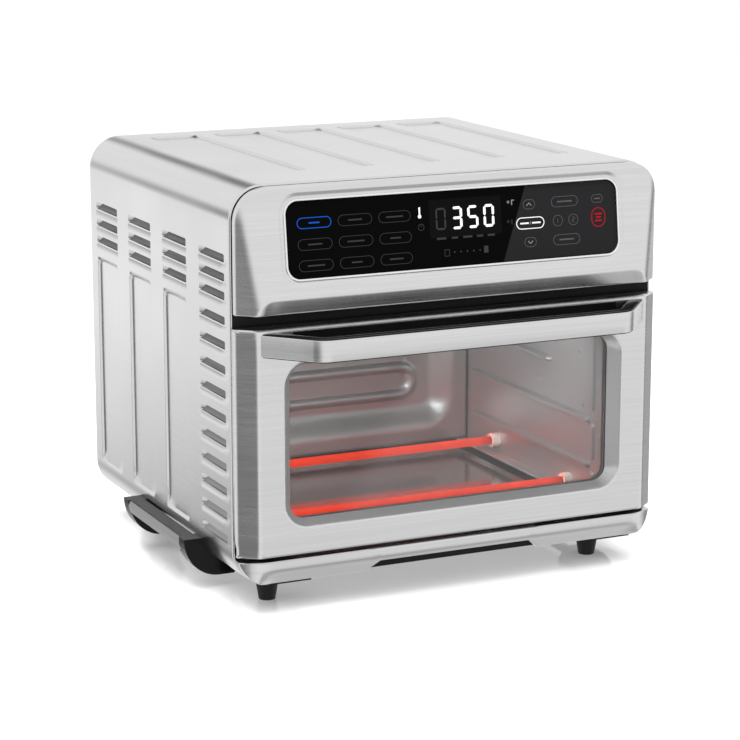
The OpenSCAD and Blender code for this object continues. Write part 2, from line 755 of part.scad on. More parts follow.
module handle_band() color("silver") oven() intersection() {
    plan(handle_z - handle_h / 2, handle_z + handle_h / 2) bow(0, sheet);
    block(-half_w, half_w, -handle_reach - eps, -1.2, 0, body_top);
}

module handle_core() color("black") oven() difference() {
    plan(handle_z - handle_h / 2 - 0.9, handle_z + handle_h / 2 + 0.9) bow(sheet, sheet + handle_core_t);
    both_sides() rod_y(handle_screw_x, handle_z, screw_r, -8, eps);
}

module handle_base() color("black") oven() block(-bend_half - 8, bend_half + 8, -2.5, 0,
    handle_z - handle_h / 2 + 2, door_top - 2);

module handle_screws() color("silver") oven() both_sides() {
    rod_y(handle_screw_x, handle_z, screw_r, -8, sheet);
    rod_y(handle_screw_x, handle_z, 2 * screw_r, sheet, sheet + 2.5);
}

// ---------------------------------------------------------------- hinges

function arc_points(r, from, to, steps) = [for (i = [0 : steps]) let (a = from + (to - from) * i / steps)
    [hinge_in + r * sin(a), hinge_z + r * cos(a)]];

module hinge_arm() difference() {
    union() {
        along_x(arm_x, arm_x + arm_t) {
            translate([hinge_in, hinge_z]) circle(hinge_in - sheet);
            translate([4, hinge_z]) square([inner_y - 4, arc_out - 2]);
            polygon(concat(arc_points(arc_out, 6, 112, 24), arc_points(arc_in, 112, 6, 24)));
        }
        along_x(arm_x - 2, arm_x + arm_t + 2) polygon(concat(arc_points(arc_out, 110.5, 113, 2),
            arc_points(arc_in, 113, 110.5, 2)));
    }
    rod_x(hinge_in, hinge_z, pin_r + run_fit, arm_x - 5, arm_x + arm_t + 5);
}

module hinge_arm_right() color("silver") oven() hinge_arm();
module hinge_arm_left() color("silver") oven() mirror([1, 0, 0]) hinge_arm();

module hinge_bracket() difference() {
    union() {
        along_x(ear_x, ear_x + ear_t) {
            translate([hinge_in, hinge_z]) circle(6);
            translate([hinge_in, hinge_z - 6]) square([frame_back + 12 - hinge_in, 12]);
        }
        block(ear_x - bracket_w, ear_x, frame_back, frame_back + 2, hinge_z - 6, hinge_z + 30);
        block(ear_x, ear_x + ear_t, frame_back, frame_back + 12, hinge_z - 6, hinge_z + 30);
    }
    rod_x(hinge_in, hinge_z, pin_r, ear_x - 5, ear_x + ear_t + 5);
}

module hinge_bracket_right() color("silver") oven() hinge_bracket();
module hinge_bracket_left() color("silver") oven() mirror([1, 0, 0]) hinge_bracket();

module hinge_pins() color("lightgray") oven() both_sides() {
    rod_x(hinge_in, hinge_z, pin_r, ear_x - 1, arm_x + arm_t + 2);
    rod_x(hinge_in, hinge_z, pin_r + 1.5, ear_x - 3, ear_x - 1);
}

// ---------------------------------------------------------------- crumb tray

module crumb_tray() color("darkgray") oven() difference() {
    block(-tray_half, tray_half, sheet, body_front + tray_len, tray_z, tray_top - sheet);
    block(-tray_half + 1, tray_half - 1, sheet + 1, body_front + tray_len - 1, tray_z + 1, tray_top);
}

module tray_front_solid(inset) intersection() {
    along_y(-5, body_front) intersection() {
        body_outline(front_inset + inset);
        translate([-half_w, 0]) square([body_w, tray_top - inset]);
    }
    plan(0, tray_top) faceted_plan(inset, 0, body_front);
    along_x(-half_w, half_w) polygon([[body_front, tray_top], [inset, tray_top],
        [inset, tray_top - tray_face_h], [7 + inset, underside], [body_front, underside]]);
}

module crumb_tray_front() color("silver") oven() difference() {
    tray_front_solid(0);
    intersection() {
        tray_front_solid(sheet);
        block(-half_w, half_w, -5, body_front + eps, 0, tray_top);
    }
    block(-half_w, half_w, body_front - 0.6, body_front + eps, 0, tray_top + eps);
    along_y(-5, body_front + eps) polygon([[-notch_half - notch_h - 3, underside - 2],
        [-notch_half, underside + notch_h + 1], [notch_half, underside + notch_h + 1],
        [notch_half + notch_h + 3, underside - 2]]);
}

module crumb_tray_grip() color("black") oven() {
    block(-notch_half - 16, notch_half + 16, 10, 12, underside + front_inset + sheet, tray_z);
    block(-notch_half - 16, notch_half + 16, 12, body_front - 1, tray_z - 3, tray_z);
}

module tray_runners() color("gray") oven() both_sides() difference() {
    block(tray_half - 12, tray_half + 2, frame_back, cavity_back_y - 4, underside + sheet, tray_top);
    block(tray_half - 13, tray_half + slide_fit, frame_back - eps, cavity_back_y, tray_z - slide_fit,
        tray_top + eps);
    block(tray_half - 13, tray_half - 2, frame_back - eps, cavity_back_y, underside + 2 * sheet,
        tray_z - slide_fit - 1.2);
}

// ---------------------------------------------------------------- underside and sides

module foot(x, y) color("black") oven() difference() {
    union() {
        translate([x, y, 0]) cylinder(r1 = foot_r, r2 = foot_top_r, h = underside - 5);
        rod_z(x, y, foot_top_r + 2, underside - 5, underside);
        block(x - 9, x + foot_strip, y - 20, y + 12, underside - foot_strip_t, underside);
    }
    rod_z(x, y, 4, 4, underside - 9);
}

module foot_front_left() foot(-foot_x, foot_front_y);
module foot_front_right() foot(foot_x, foot_front_y);
module foot_rear_left() foot(-foot_x, foot_rear_y);
module foot_rear_right() foot(foot_x, foot_rear_y);

carry_rx = 2 * carry_out + 1.5;
carry_cx = half_w + carry_out - carry_rx;
carry_rz = carry_up + 14;
function carry_curve() = [for (i = [0 : 12]) let (a = i * 90 / 12)
    [carry_cx + carry_rx * cos(a), carry_top - carry_rz * sin(a)]];

module carry_handle() difference() {
    union() {
        for (y = [carry_front, carry_back - carry_arm]) along_y(y, y + carry_arm) polygon(concat(
            carry_curve(), [[carry_cx - 14, carry_top - carry_rz], [carry_cx - 22, underside],
            [carry_cx - 22, carry_top]]));
        block(half_w + carry_out - carry_grip_t, half_w + carry_out - 2.5, carry_front + eps, carry_back - eps,
            carry_top - carry_h, carry_top);
        block(half_w + 1, half_w + carry_out - 3, carry_front + eps, carry_back - eps, carry_top - carry_lip, carry_top);
    }
    along_y(carry_front - eps, carry_back + eps) body_outline(0);
    block(half_w + carry_out - 2.5, half_w + carry_out + eps, carry_front + carry_arm - 3,
        carry_back - carry_arm + 3, carry_top - carry_h - 3, carry_top + eps);
}

module carry_handle_right() color("black") oven() carry_handle();
module carry_handle_left() color("black") oven() mirror([1, 0, 0]) carry_handle();

module carry_trim() along_y(carry_front + carry_arm - 3, carry_back - carry_arm + 3) polygon([
    [half_w + carry_out - 2.5, carry_top - 0.5], [half_w + carry_out - 1, carry_top - 0.5],
    [half_w + carry_out, carry_top - carry_h / 2], [half_w + carry_out - 2, carry_top - carry_h],
    [half_w + carry_out - 2.5, carry_top - carry_h]]);

module carry_trim_right() color("silver") oven() carry_trim();
module carry_trim_left() color("silver") oven() mirror([1, 0, 0]) carry_trim();

// ---------------------------------------------------------------- rear and small pieces

module rear_spacers() color("black") oven() for (s = [-1, 1]) difference() {
    rod_y(s * spacer_x, spacer_z, 9, rear_y + 1.5, body_back + spacer_len - 1);
    rod_y(s * spacer_x, spacer_z, 5, rear_y + 6, body_back + spacer_len);
}

module cord_gland() color("black") oven() difference() {
    union() {
        rod_y(gland_x, gland_z, gland_r, rear_y - 6, rear_y + 1.5);
        rod_y(gland_x, gland_z, gland_r + 3, rear_y + 1.5, rear_y + 5);
        rod_y(gland_x, gland_z, gland_r + 2, rear_y - 6, rear_y);
    }
    rod_y(gland_x, gland_z, 4, rear_y - 7, rear_y + 6);
}

module terminal_block() color("ivory") oven() {
    block(gland_x - 52, gland_x - 18, rear_y - 16, rear_y, gland_z - 12, gland_z + 12);
    for (i = [0 : 2]) rod_y(gland_x - 45 + i * 10, gland_z, 3, rear_y - 18, rear_y - 16);
}

module door_switch() color("dimgray") oven() {
    block(switch_x - 5, switch_x + 5, frame_back, frame_back + 18, switch_z - 9, switch_z + 9);
    rod_y(switch_x, switch_z, 2.4, frame_y - 0.2, frame_back);
}

module rear_screws() color("lightgray") oven() for (p = rear_screw_places()) {
    rod_y(p[0], p[1], screw_r, rear_y - 4, rear_y + 1.5);
    rod_y(p[0], p[1], 2 * screw_r, rear_y + 1.5, rear_y + 3.5);
}

module panel_screws() color("lightgray") oven() both_sides() for (z = panel_screw_heights()) {
    rod_y(panel_screw_x, z, screw_r, 15, frame_back);
    rod_y(panel_screw_x, z, 2 * screw_r, frame_back, frame_back + 2);
}

outer_shell();
base_plate();
rear_panel();
front_frame();
control_bezel();
display_glass();
display_module();
control_board();
power_board();
heat_shield();
cavity_liner();
cavity_back();
ceiling_grille();
fan_housing();
convection_fan();
motor_shaft();
motor_body();
motor_bracket();
cooling_fan();
heater_lower_front();
heater_lower_rear();
heater_upper_front();
heater_upper_rear();
heater_caps();
heat_probe();
thermal_cutout();
lamp_holder();
lamp_bulb();
lamp_lens();
door_skin();
door_inner_panel();
door_glass();
window_seal();
handle_core();
handle_base();
handle_band();
handle_screws();
hinge_arm_left();
hinge_arm_right();
hinge_bracket_left();
hinge_bracket_right();
hinge_pins();
crumb_tray();
crumb_tray_front();
crumb_tray_grip();
tray_runners();
foot_front_left();
foot_front_right();
foot_rear_left();
foot_rear_right();
carry_handle_left();
carry_handle_right();
carry_trim_left();
carry_trim_right();
rear_spacers();
cord_gland();
terminal_block();
door_switch();
rear_screws();
panel_screws();
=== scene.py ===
"""Countertop toaster oven: the looks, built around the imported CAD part.

Lengths of the shapes are in millimetres: x is the width, y the depth behind the door's flat face, z the
height above the table. Lights and the camera are placed in metres, in the frame's own axes.
"""

import math

import bpy  # noqa: E402
import bmesh  # noqa: E402
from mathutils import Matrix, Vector  # noqa: E402
from mathutils.geometry import area_tri, tessellate_polygon  # noqa: E402


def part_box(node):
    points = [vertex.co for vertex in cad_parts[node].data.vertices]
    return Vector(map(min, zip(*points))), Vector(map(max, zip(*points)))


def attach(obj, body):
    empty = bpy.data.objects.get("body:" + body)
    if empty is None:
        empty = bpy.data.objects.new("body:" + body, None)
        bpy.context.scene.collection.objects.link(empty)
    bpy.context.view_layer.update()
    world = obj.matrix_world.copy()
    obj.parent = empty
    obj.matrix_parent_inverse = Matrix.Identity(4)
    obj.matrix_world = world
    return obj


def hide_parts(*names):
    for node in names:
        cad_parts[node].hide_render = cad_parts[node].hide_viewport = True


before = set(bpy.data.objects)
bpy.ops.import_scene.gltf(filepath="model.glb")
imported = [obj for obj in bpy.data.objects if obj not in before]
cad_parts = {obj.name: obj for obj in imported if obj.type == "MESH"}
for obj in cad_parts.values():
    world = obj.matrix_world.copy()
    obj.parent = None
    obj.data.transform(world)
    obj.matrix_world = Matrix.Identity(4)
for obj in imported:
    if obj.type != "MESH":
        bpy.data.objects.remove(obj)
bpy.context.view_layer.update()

MM = 0.001
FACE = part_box("door_skin")[0].y  # the door's flat face, in metres

# ---------------- sizes, as in the CAD part


def span(node, axis):
    """Lowest and highest coordinate of a CAD node along an axis, in millimetres."""
    low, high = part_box(node)
    shift = FACE if axis == 1 else 0
    return (low[axis] - shift) / MM, (high[axis] - shift) / MM


HALF_W = span("outer_shell", 0)[1]
SHELL_Y = span("outer_shell", 1)
UNDERSIDE, BODY_TOP = span("outer_shell", 2)
TOP_R, BOTTOM_R = 30, 28
LIP_HALF = 176  # half the opening between the wrap's two lower lips
FRONT_HALF = span("door_skin", 0)[1]
DOOR_LOW, DOOR_HIGH = span("door_skin", 2)
FACET_W, FACET_D = 16, 13
PANEL_LOW = span("control_bezel", 2)[0]
PANEL_HIGH = span("control_bezel", 2)[1]
FACE_LOW = PANEL_LOW + 13
PANEL_LEAN = 3
PANEL_SLOPE = 12 / (PANEL_HIGH - FACE_LOW)
PANEL_TILT = math.atan(PANEL_SLOPE)
DISPLAY_HALF, DISPLAY_H, DISPLAY_UP, DISPLAY_R, DISPLAY_IN = 160, 65.5, 16.5, 11, 2.8
DISPLAY_LOW = FACE_LOW + DISPLAY_UP * math.cos(PANEL_TILT)
DISPLAY_TOP = DISPLAY_LOW + DISPLAY_H * math.cos(PANEL_TILT)

SLOT_LEN, SLOT_H, SLOT_MARGIN = 58.6, 7, 1.4
COLUMN_Y = [SHELL_Y[0] + 12 + 89.7 * i for i in range(4)]
SLOT_ROWS = [BODY_TOP - 63 - (16.2 * i if i < 3 else 32.4 + 21.4 * (i - 2)) for i in range(13)]
PRESS_LOW, PRESS_HIGH = UNDERSIDE + 30, SLOT_ROWS[2] - 17
TOP_PRESS_W, TOP_PRESS_PITCH = 49, 65.4
TOP_PRESS_Y = (SHELL_Y[0] + 63, SHELL_Y[1] - 28)


# ---------------- small helpers


def smooth_max(a, b, k):
    """The larger of two heights, with a soft crease about k wide where they meet."""
    h = max(k - abs(a - b), 0) / k
    return max(a, b) + h * h * k / 4


def smooth_step(t):
    t = min(max(t, 0), 1)
    return t * t * (3 - 2 * t)


def fillet(d, r):
    """How far a rounded edge of radius r falls back at distance d from the edge."""
    if d >= r:
        return 0
    return r - math.sqrt(max(r * r - (r - max(d, 0)) ** 2, 0))


def spread(fixed, step):
    """The fixed positions in order, with more between them wherever a gap is wider than step."""
    ordered = sorted(fixed)
    kept = [ordered[0]]
    for value in ordered[1:]:
        gap = value - kept[-1]
        if gap < 0.02:
            continue
        parts = max(1, math.ceil(gap / step - 1e-6))
        start = kept[-1]
        kept += [start + gap * i / parts for i in range(1, parts + 1)]
    return kept


def outside_of(u, v, half_u, half_v, radius):
    """How far a point lies outside a rounded rectangle about the origin. Negative inside it."""
    qu, qv = abs(u) - half_u + radius, abs(v) - half_v + radius
    return math.hypot(max(qu, 0), max(qv, 0)) + min(max(qu, qv), 0) - radius


def add_object(name, data):
    """A new object with this mesh, lamp or camera, linked into the scene."""
    thing = bpy.data.objects.new(name, data)
    bpy.context.scene.collection.objects.link(thing)
    return thing


def build(name, verts, faces, material, body="root", replaces=(), closed=True, second=(),
          flat=()):
    """A mesh piece from millimetre points. It rides on a body and stands for the CAD nodes it replaces.

    second numbers the faces that take a second material, flat those that are not shaded smooth."""
    mesh = bpy.data.meshes.new(name)
    mesh.from_pydata([(x * MM, y * MM + FACE, z * MM) for x, y, z in verts], [], faces)
    mesh.polygons.foreach_set("use_smooth", [True] * len(mesh.polygons))
    for number in second:
        mesh.polygons[number].material_index = 1
    for number in flat:
        mesh.polygons[number].use_smooth = False
    bm = bmesh.new()
    bm.from_mesh(mesh)
    bmesh.ops.remove_doubles(bm, verts=bm.verts, dist=2e-6)
    if closed:
        bmesh.ops.recalc_face_normals(bm, faces=bm.faces)
        outermost = max(bm.faces, key=lambda f: f.calc_center_median().x)
        if outermost.normal.x < 0:
            bmesh.ops.reverse_faces(bm, faces=bm.faces)
    bm.to_mesh(mesh)
    bm.free()
    smooth = [polygon.use_smooth for polygon in mesh.polygons]
    mesh.set_sharp_from_angle(angle=math.radians(38))
    mesh.polygons.foreach_set("use_smooth", smooth)
    piece = add_object(name, mesh)
    mesh.materials.append(material)
    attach(piece, body)
    if replaces:
        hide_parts(*replaces)
    return piece


def thicken(piece, thickness):
    """Gives a one-sided sheet its thickness, inwards."""
    solid = piece.modifiers.new("sheet", "SOLIDIFY")
    solid.thickness = thickness * MM
    solid.offset = -1


def loft(rings, closed=True):
    """Points and faces of a surface through rings of equally many points."""
    count = len(rings[0])
    verts = [p for ring in rings for p in ring]
    faces = []
    for r in range(len(rings) - 1):
        for i in range(count if closed else count - 1):
            j = (i + 1) % count
            a, b = r * count, (r + 1) * count
            faces.append((a + i, a + j, b + j, b + i))
    return verts, faces


def grid_faces(rows, columns, holes=()):
    """Faces of a grid whose points follow row after row. holes are the cells that stay open."""
    faces = []
    for i in range(rows - 1):
        for j in range(columns - 1):
            if (i, j) not in holes:
                a = i * columns + j
                faces.append((a, a + 1, a + columns + 1, a + columns))
    return faces


def quarter(cx, cz, r, start, steps):
    """Points of a quarter circle, from a starting angle in degrees."""
    turns = [math.radians(start + 90 * i / steps) for i in range(steps + 1)]
    return [(cx + r * math.cos(a), cz + r * math.sin(a)) for a in turns]


def outline(half, low, high, r_low, r_high, arc, across, up):
    """Points (x, z) round an upright rounded rectangle, from the lower left, anticlockwise from the front."""
    points = []
    corners = [
        (half - r_low, low + r_low, r_low, -90, across, (-half + r_low, low)),
        (half - r_high, high - r_high, r_high, 0, up, (half, low + r_low)),
        (-half + r_high, high - r_high, r_high, 90, across, (half - r_high, high)),
        (-half + r_low, low + r_low, r_low, 180, up, (-half, high - r_high)),
    ]
    for cx, cz, r, start, count, begin in corners:
        corner = quarter(cx, cz, r, start, arc)
        for i in range(count):
            t = 0.5 - 0.5 * math.cos(math.pi * i / count)
            points.append(tuple(between(begin, corner[0], t)))
        points += corner[:-1]
    return points


def between(a, b, t):
    return [p + (q - p) * t for p, q in zip(a, b)]


# ---------------- materials


def feed(node, socket, source):
    """Links an output into one of a node's inputs."""
    node.id_data.links.new(source, node.inputs[socket])


def preset(node, **values):
    """Sets a node's inputs by name. An underscore stands for a space."""
    for key, value in values.items():
        node.inputs[key.replace("_", " ")].default_value = value


def add_node(tree, kind, **values):
    node = tree.nodes.new("ShaderNode" + kind)
    preset(node, **values)
    return node


def shader(name, color, metallic=0.0, roughness=0.5, **values):
    """A material with one Principled shader. Returns the material, its node tree and the shader."""
    material = bpy.data.materials.new(name)
    material.use_nodes = True
    tree = material.node_tree
    principled = tree.nodes["Principled BSDF"]
    preset(principled, Base_Color=(*color, 1), Metallic=metallic, Roughness=roughness, **values)
    return material, tree, principled


def add_noise(tree, scale, detail=2.0):
    """Noise in object space. scale is one number, or three for a grain along an axis."""
    coords = add_node(tree, "TexCoord")
    mapping = add_node(tree, "Mapping", Scale=scale if hasattr(scale, "__len__") else (scale,) * 3)
    noise = add_node(tree, "TexNoise", Scale=1.0, Detail=detail, Roughness=0.55)
    feed(mapping, "Vector", coords.outputs["Object"])
    feed(noise, "Vector", mapping.outputs["Vector"])
    return noise.outputs["Fac"]


def object_axes(tree):
    """The object's own x, y and z at the shaded point."""
    coords = add_node(tree, "TexCoord")
    split = add_node(tree, "SeparateXYZ")
    feed(split, "Vector", coords.outputs["Object"])
    return split.outputs


def map_range(tree, source, low, high, to_low, to_high, curve="LINEAR"):
    node = add_node(tree, "MapRange", From_Min=low, From_Max=high, To_Min=to_low, To_Max=to_high)
    node.interpolation_type = curve
    feed(node, "Value", source)
    return node.outputs["Result"]


def math_node(tree, operation, a, b):
    node = add_node(tree, "Math")
    node.operation = operation
    for socket, value in zip(node.inputs, (a, b)):
        if isinstance(value, (int, float)):
            socket.default_value = value
        else:
            tree.links.new(value, socket)
    return node.outputs[0]


def mix_color(tree, factor, a, b):
    node = add_node(tree, "Mix")
    node.data_type = "RGBA"
    preset(node, A=(*a, 1), B=(*b, 1))
    feed(node, "Factor", factor)
    return node.outputs["Result"]


def add_bump(tree, principled, height, strength, depth):
    bump = add_node(tree, "Bump", Strength=strength, Distance=depth * MM)
    feed(bump, "Height", height)
    feed(principled, "Normal", bump.outputs["Normal"])


def brushed(name, tone, roughness, grain, contrast, bump=0.03, metallic=1.0):
    """Brushed stainless steel. grain is the axis that the brush marks run along."""
    material, tree, principled = shader(name, (tone,) * 3, metallic, roughness)
    fine = {"x": (9.0, 50.0, 700.0), "y": (700.0, 9.0, 700.0), "z": (700.0, 50.0, 9.0)}[grain]
    coarse = [v * 0.3 for v in fine]
    streaks = add_noise(tree, fine)
    bands = add_noise(tree, coarse)
    smudges = add_noise(tree, 9.0)
    mixed = math_node(tree, "ADD", math_node(tree, "MULTIPLY", streaks, 0.6),
                      math_node(tree, "MULTIPLY", bands, 0.4))
    dark, light = tone * (1 - contrast), min(tone * (1 + contrast), 1)
    factor = map_range(tree, mixed, 0.36, 0.64, 0, 1)
    tinted = mix_color(tree, factor, (dark, dark, dark * 1.004), (light, light, light * 0.998))
    feed(principled, "Base Color", tinted)
    rough = math_node(tree, "ADD", map_range(tree, mixed, 0.3, 0.7, roughness - 0.02, roughness + 0.02),
                      map_range(tree, smudges, 0.35, 0.65, -0.02, 0.02))
    feed(principled, "Roughness", rough)
    if bump:
        add_bump(tree, principled, streaks, bump, 0.02)
    return material


def louvre_painted_shade(name):
    """Steel of the louvre flaps, painted dark as painted shade where they lean into the casing; the lower
    rows are a little lighter.
    """
    material, tree, principled = shader(name, (0.2,) * 3, 1.0, 0.34)
    height = map_range(tree, object_axes(tree)["Z"], SLOT_ROWS[-1] * MM, SLOT_ROWS[3] * MM, 0.0, 0.8)
    grain = map_range(tree, add_noise(tree, (600.0, 12.0, 600.0)), 0.3, 0.7, 0.0, 0.2)
    factor = math_node(tree, "ADD", height, grain)
    # painted shade: the flaps are dark grey, darkest on the upper rows
    color = mix_color(tree, factor, (0.36, 0.355, 0.35), (0.125, 0.12, 0.12))
    feed(principled, "Base Color", color)
    feed(principled, "Roughness", map_range(tree, grain, 0, 0.2, 0.30, 0.38))
    return material


def moulded(name, color, roughness, scale, bump, **values):
    """Moulded plastic or rubber with a fine grain and a little unevenness."""
    material, tree, principled = shader(name, color, 0.0, roughness, **values)
    grain = add_noise(tree, scale)
    cloud = add_noise(tree, 14.0)
    rough = math_node(tree, "ADD", map_range(tree, grain, 0.3, 0.7, roughness - 0.04, roughness + 0.04),
                      map_range(tree, cloud, 0.3, 0.7, -0.03, 0.03))
    feed(principled, "Roughness", rough)
    tinted = mix_color(tree, map_range(tree, cloud, 0.3, 0.7, 0, 1), [c * 0.85 for c in color],
                       [min(c * 1.15, 1) for c in color])
    feed(principled, "Base Color", tinted)
    add_bump(tree, principled, grain, bump, 0.03)
    return material


def glowing(name, color, strength, cool, half):
    """A tube that glows, cooler at its ends and in slow waves along it. half is half its length."""
    material, tree, principled = shader(name, cool, 0.0, 0.45, Specular_IOR_Level=0.1,
                                        Emission_Color=(*color, 1))
    away = math_node(tree, "ABSOLUTE", object_axes(tree)["X"], 0)
    ends = map_range(tree, away, half * MM * 0.86, half * MM, 1.0, 0.0)
    waves = map_range(tree, add_noise(tree, (22.0, 40.0, 40.0)), 0.3, 0.7, 0.85, 1.12)
    glow = math_node(tree, "MULTIPLY", math_node(tree, "MULTIPLY", ends, waves), strength)
    feed(principled, "Emission Strength", glow)
    return material


def lit(name, color, strength):
    """Printed or lit marks on the display."""
    material, tree, principled = shader(name, (0.002,) * 3, 0.0, 0.3, Specular_IOR_Level=0.0,
                                        Emission_Color=(*color, 1))
    spots = map_range(tree, add_noise(tree, 160.0, 1.0), 0.3, 0.7, strength * 0.94, strength * 1.05)
    feed(principled, "Emission Strength", spots)
    return material


front_steel = brushed("front_steel", 0.76, 0.25, "x", contrast=0.035, bump=0.01)
shell_steel = brushed("shell_steel", 0.765, 0.22, "y", contrast=0.02, bump=0.004)
# louvre flaps: steel painted dark as painted shade
flap_painted_shade = louvre_painted_shade("flap_painted_shade")
bevel_steel = brushed("bevel_steel", 0.62, 0.32, "x", contrast=0.015, bump=0, metallic=0.82)
panel_steel = brushed("panel_steel", 0.77, 0.27, "x", contrast=0.04, bump=0.01)
trim_steel = brushed("trim_steel", 0.36, 0.30, "y", contrast=0.05)
# painted highlight: a brighter copy of the panel steel for the opening's cut edge
edge_highlight_steel = brushed("edge_highlight_steel", 0.95, 0.22, "x", contrast=0.02)
inner_steel = brushed("inner_steel", 0.55, 0.36, "x", contrast=0.01, bump=0, metallic=0.88)
wall_steel = brushed("wall_steel", 0.50, 0.34, "x", contrast=0.01, bump=0, metallic=0.70)
tray_steel = brushed("tray_steel", 0.38, 0.12, "x", contrast=0.02, bump=0, metallic=0.80)
back_steel = brushed("back_steel", 0.60, 0.38, "z", contrast=0.05)
small_steel = brushed("small_steel", 0.70, 0.25, "x", contrast=0.06)
black_gloss = moulded("black_gloss", (0.004,) * 3, 0.18, 300.0, 0.03, Specular_IOR_Level=0.16)
black_satin = moulded("black_satin", (0.006,) * 3, 0.38, 500.0, 0.08, Specular_IOR_Level=0.16)
black_rubber = moulded("black_rubber", (0.009,) * 3, 0.50, 500.0, 0.15, Specular_IOR_Level=0.20)
seal_grey = moulded("seal_grey", (0.20,) * 3, 0.5, 500.0, 0.08)
ceramic = moulded("ceramic", (0.78, 0.74, 0.68), 0.45, 500.0, 0.1)
board_green = moulded("board_green", (0.02, 0.12, 0.05), 0.45, 300.0, 0.1)
fan_white = moulded("fan_white", (0.72, 0.72, 0.70), 0.5, 400.0, 0.1)
tube_glow = glowing("tube_glow", (1.0, 0.045, 0.008), 0.86, (0.06, 0.01, 0.008), 166)
tube_dark = moulded("tube_dark", (0.16, 0.15, 0.15), 0.42, 500.0, 0.15)
WHITE = (1, 1, 1)
lit_white = lit("lit_white", WHITE, 1.3)
lit_blue = lit("lit_blue", (0.01, 0.14, 0.80), 0.75)
lit_red = lit("lit_red", (0.75, 0.015, 0.03), 0.62)
mark_dim = lit("mark_dim", WHITE, 0.048)
mark_soft = lit("mark_soft", WHITE, 0.11)
mark_faint = lit("mark_faint", WHITE, 0.004)
mark_mid = lit("mark_mid", WHITE, 0.30)


def slanted_edge(tree, height, slope):
    """How far right of a slanted line a point lies, in metres. The line passes x = 0 at the given height."""
    axes = object_axes(tree)
    slant = math_node(tree, "MULTIPLY", math_node(tree, "SUBTRACT", axes["Z"], height), slope)
    return math_node(tree, "SUBTRACT", axes["X"], slant)


def window_glass():
    """Clear, slightly grey glass. Beyond a slanted line it mirrors a little more of the room, a painted
    reflection.
    """
    material = bpy.data.materials.new("window_glass")
    material.use_nodes = True
    tree = material.node_tree
    tree.nodes.clear()
    output = add_node(tree, "OutputMaterial")
    mix = add_node(tree, "MixShader")
    clear = add_node(tree, "BsdfTransparent", Color=(0.90, 0.91, 0.91, 1))
    gloss = add_node(tree, "BsdfGlossy", Roughness=0.02)
    fresnel = add_node(tree, "Fresnel", IOR=1.5)
    share = map_range(tree, fresnel.outputs["Fac"], 0.04, 1.0, 0.010, 0.9)
    smears = map_range(tree, add_noise(tree, 11.0), 0.35, 0.65, -0.004, 0.004)
    # painted reflection: beyond a slanted line the glass mirrors more of the room
    edge = slanted_edge(tree, 0.150, 0.50)
    painted_reflection = map_range(tree, edge, -0.078, -0.052, 0.0, 0.040)
    mirrored = math_node(tree, "ADD", math_node(tree, "ADD", share, smears), painted_reflection)
    feed(mix, "Fac", mirrored)
    feed(mix, 1, clear.outputs["BSDF"])
    feed(mix, 2, gloss.outputs["BSDF"])
    feed(output, "Surface", mix.outputs["Shader"])
    return material


def display_black():
    """Black panel glass. Its right-hand part, beyond a slanted line, is painted a shade lighter: a painted
    reflection.
    """
    material, tree, principled = shader("display_black", (0.001,) * 3, 0.0, 0.07, Specular_IOR_Level=0.03)
    edge = slanted_edge(tree, 0.2956, 0.378)
    # painted reflection: the part right of the slanted line is made lighter
    tone = map_range(tree, edge, 0.0458, 0.0463, 0, 1)
    haze = map_range(tree, add_noise(tree, 6.0, 1.0), 0.3, 0.7, 0.9, 1.0)
    painted_reflection_mask = math_node(tree, "MULTIPLY", tone, haze)
    color = mix_color(tree, painted_reflection_mask, (0.001, 0.001, 0.001), (0.015, 0.015, 0.016))
    feed(principled, "Base Color", color)
    return material


glass = window_glass()
panel_black = display_black()

# ---------------- outer shell


def slot_patch(side, y0, z, grid_loop):
    """One louvre: the flat sheet round its slot, and the flap that leans in behind it with its two ends."""
    corner = 1.6
    low, high = z - SLOT_H / 2, z + SLOT_H / 2
    levels = [0, 0.05, 0.14, 0.28, 0.5, 0.72, 0.86, 0.95, 1]
    x = side * HALF_W
    front, rear, flap_front, flap_rear = [], [], [], []
    for v in levels:
        zz = low + v * SLOT_H
        bite = fillet(min(zz - low, high - zz), corner)
        depth = 5.2 * v ** 0.6
        front.append((x, y0 + bite, zz))
        rear.append((x, y0 + SLOT_LEN - bite, zz))
        flap_front.append((x - side * depth, y0 + bite + 1.6 * v, zz))
        flap_rear.append((x - side * depth, y0 + SLOT_LEN - bite - 8 * v, zz))
    hole = front + rear[::-1]
    verts = list(grid_loop) + hole
    flat = [Vector((p[1], p[2], 0)) for p in verts]
    count = len(grid_loop)
    triangles = tessellate_polygon([flat[:count], flat[count:]])
    faces = [tuple(t) for t in triangles if area_tri(*(flat[k] for k in t)) > 0.004]
    start = len(verts)
    verts += flap_front + flap_rear
    n = len(levels)
    flaps = []
    for k in range(n - 1):
        a, b = start + k, start + n + k
        flaps.append(len(faces))
        faces.append((a, b, b + 1, a + 1))
        faces.append((count + k, a, a + 1, count + k + 1))
        rear_k, rear_next = count + 2 * n - 1 - k, count + 2 * n - 2 - k
        faces.append((b, rear_k, rear_next, b + 1))
    return verts, faces, flaps


def press_depth(u, v, half_u, half_v, walls, radius, depth):
    """Depth of a pressed panel at (u, v) from its middle. walls are the wall widths at -u, +u, -v, +v."""
    inside = -outside_of(u, v, half_u, half_v, radius)
    if inside <= 0:
        return 0
    qu, qv = abs(u) - half_u + radius, abs(v) - half_v + radius
    wall_u = walls[0] if u < 0 else walls[1]
    wall_v = walls[2] if v < 0 else walls[3]
    if qu > 0 and qv > 0:
        share = qu / (qu + qv)
    else:
        share = 1 if qu > qv else 0
    wall = wall_u * share + wall_v * (1 - share)
    return depth * smooth_step(inside / wall)


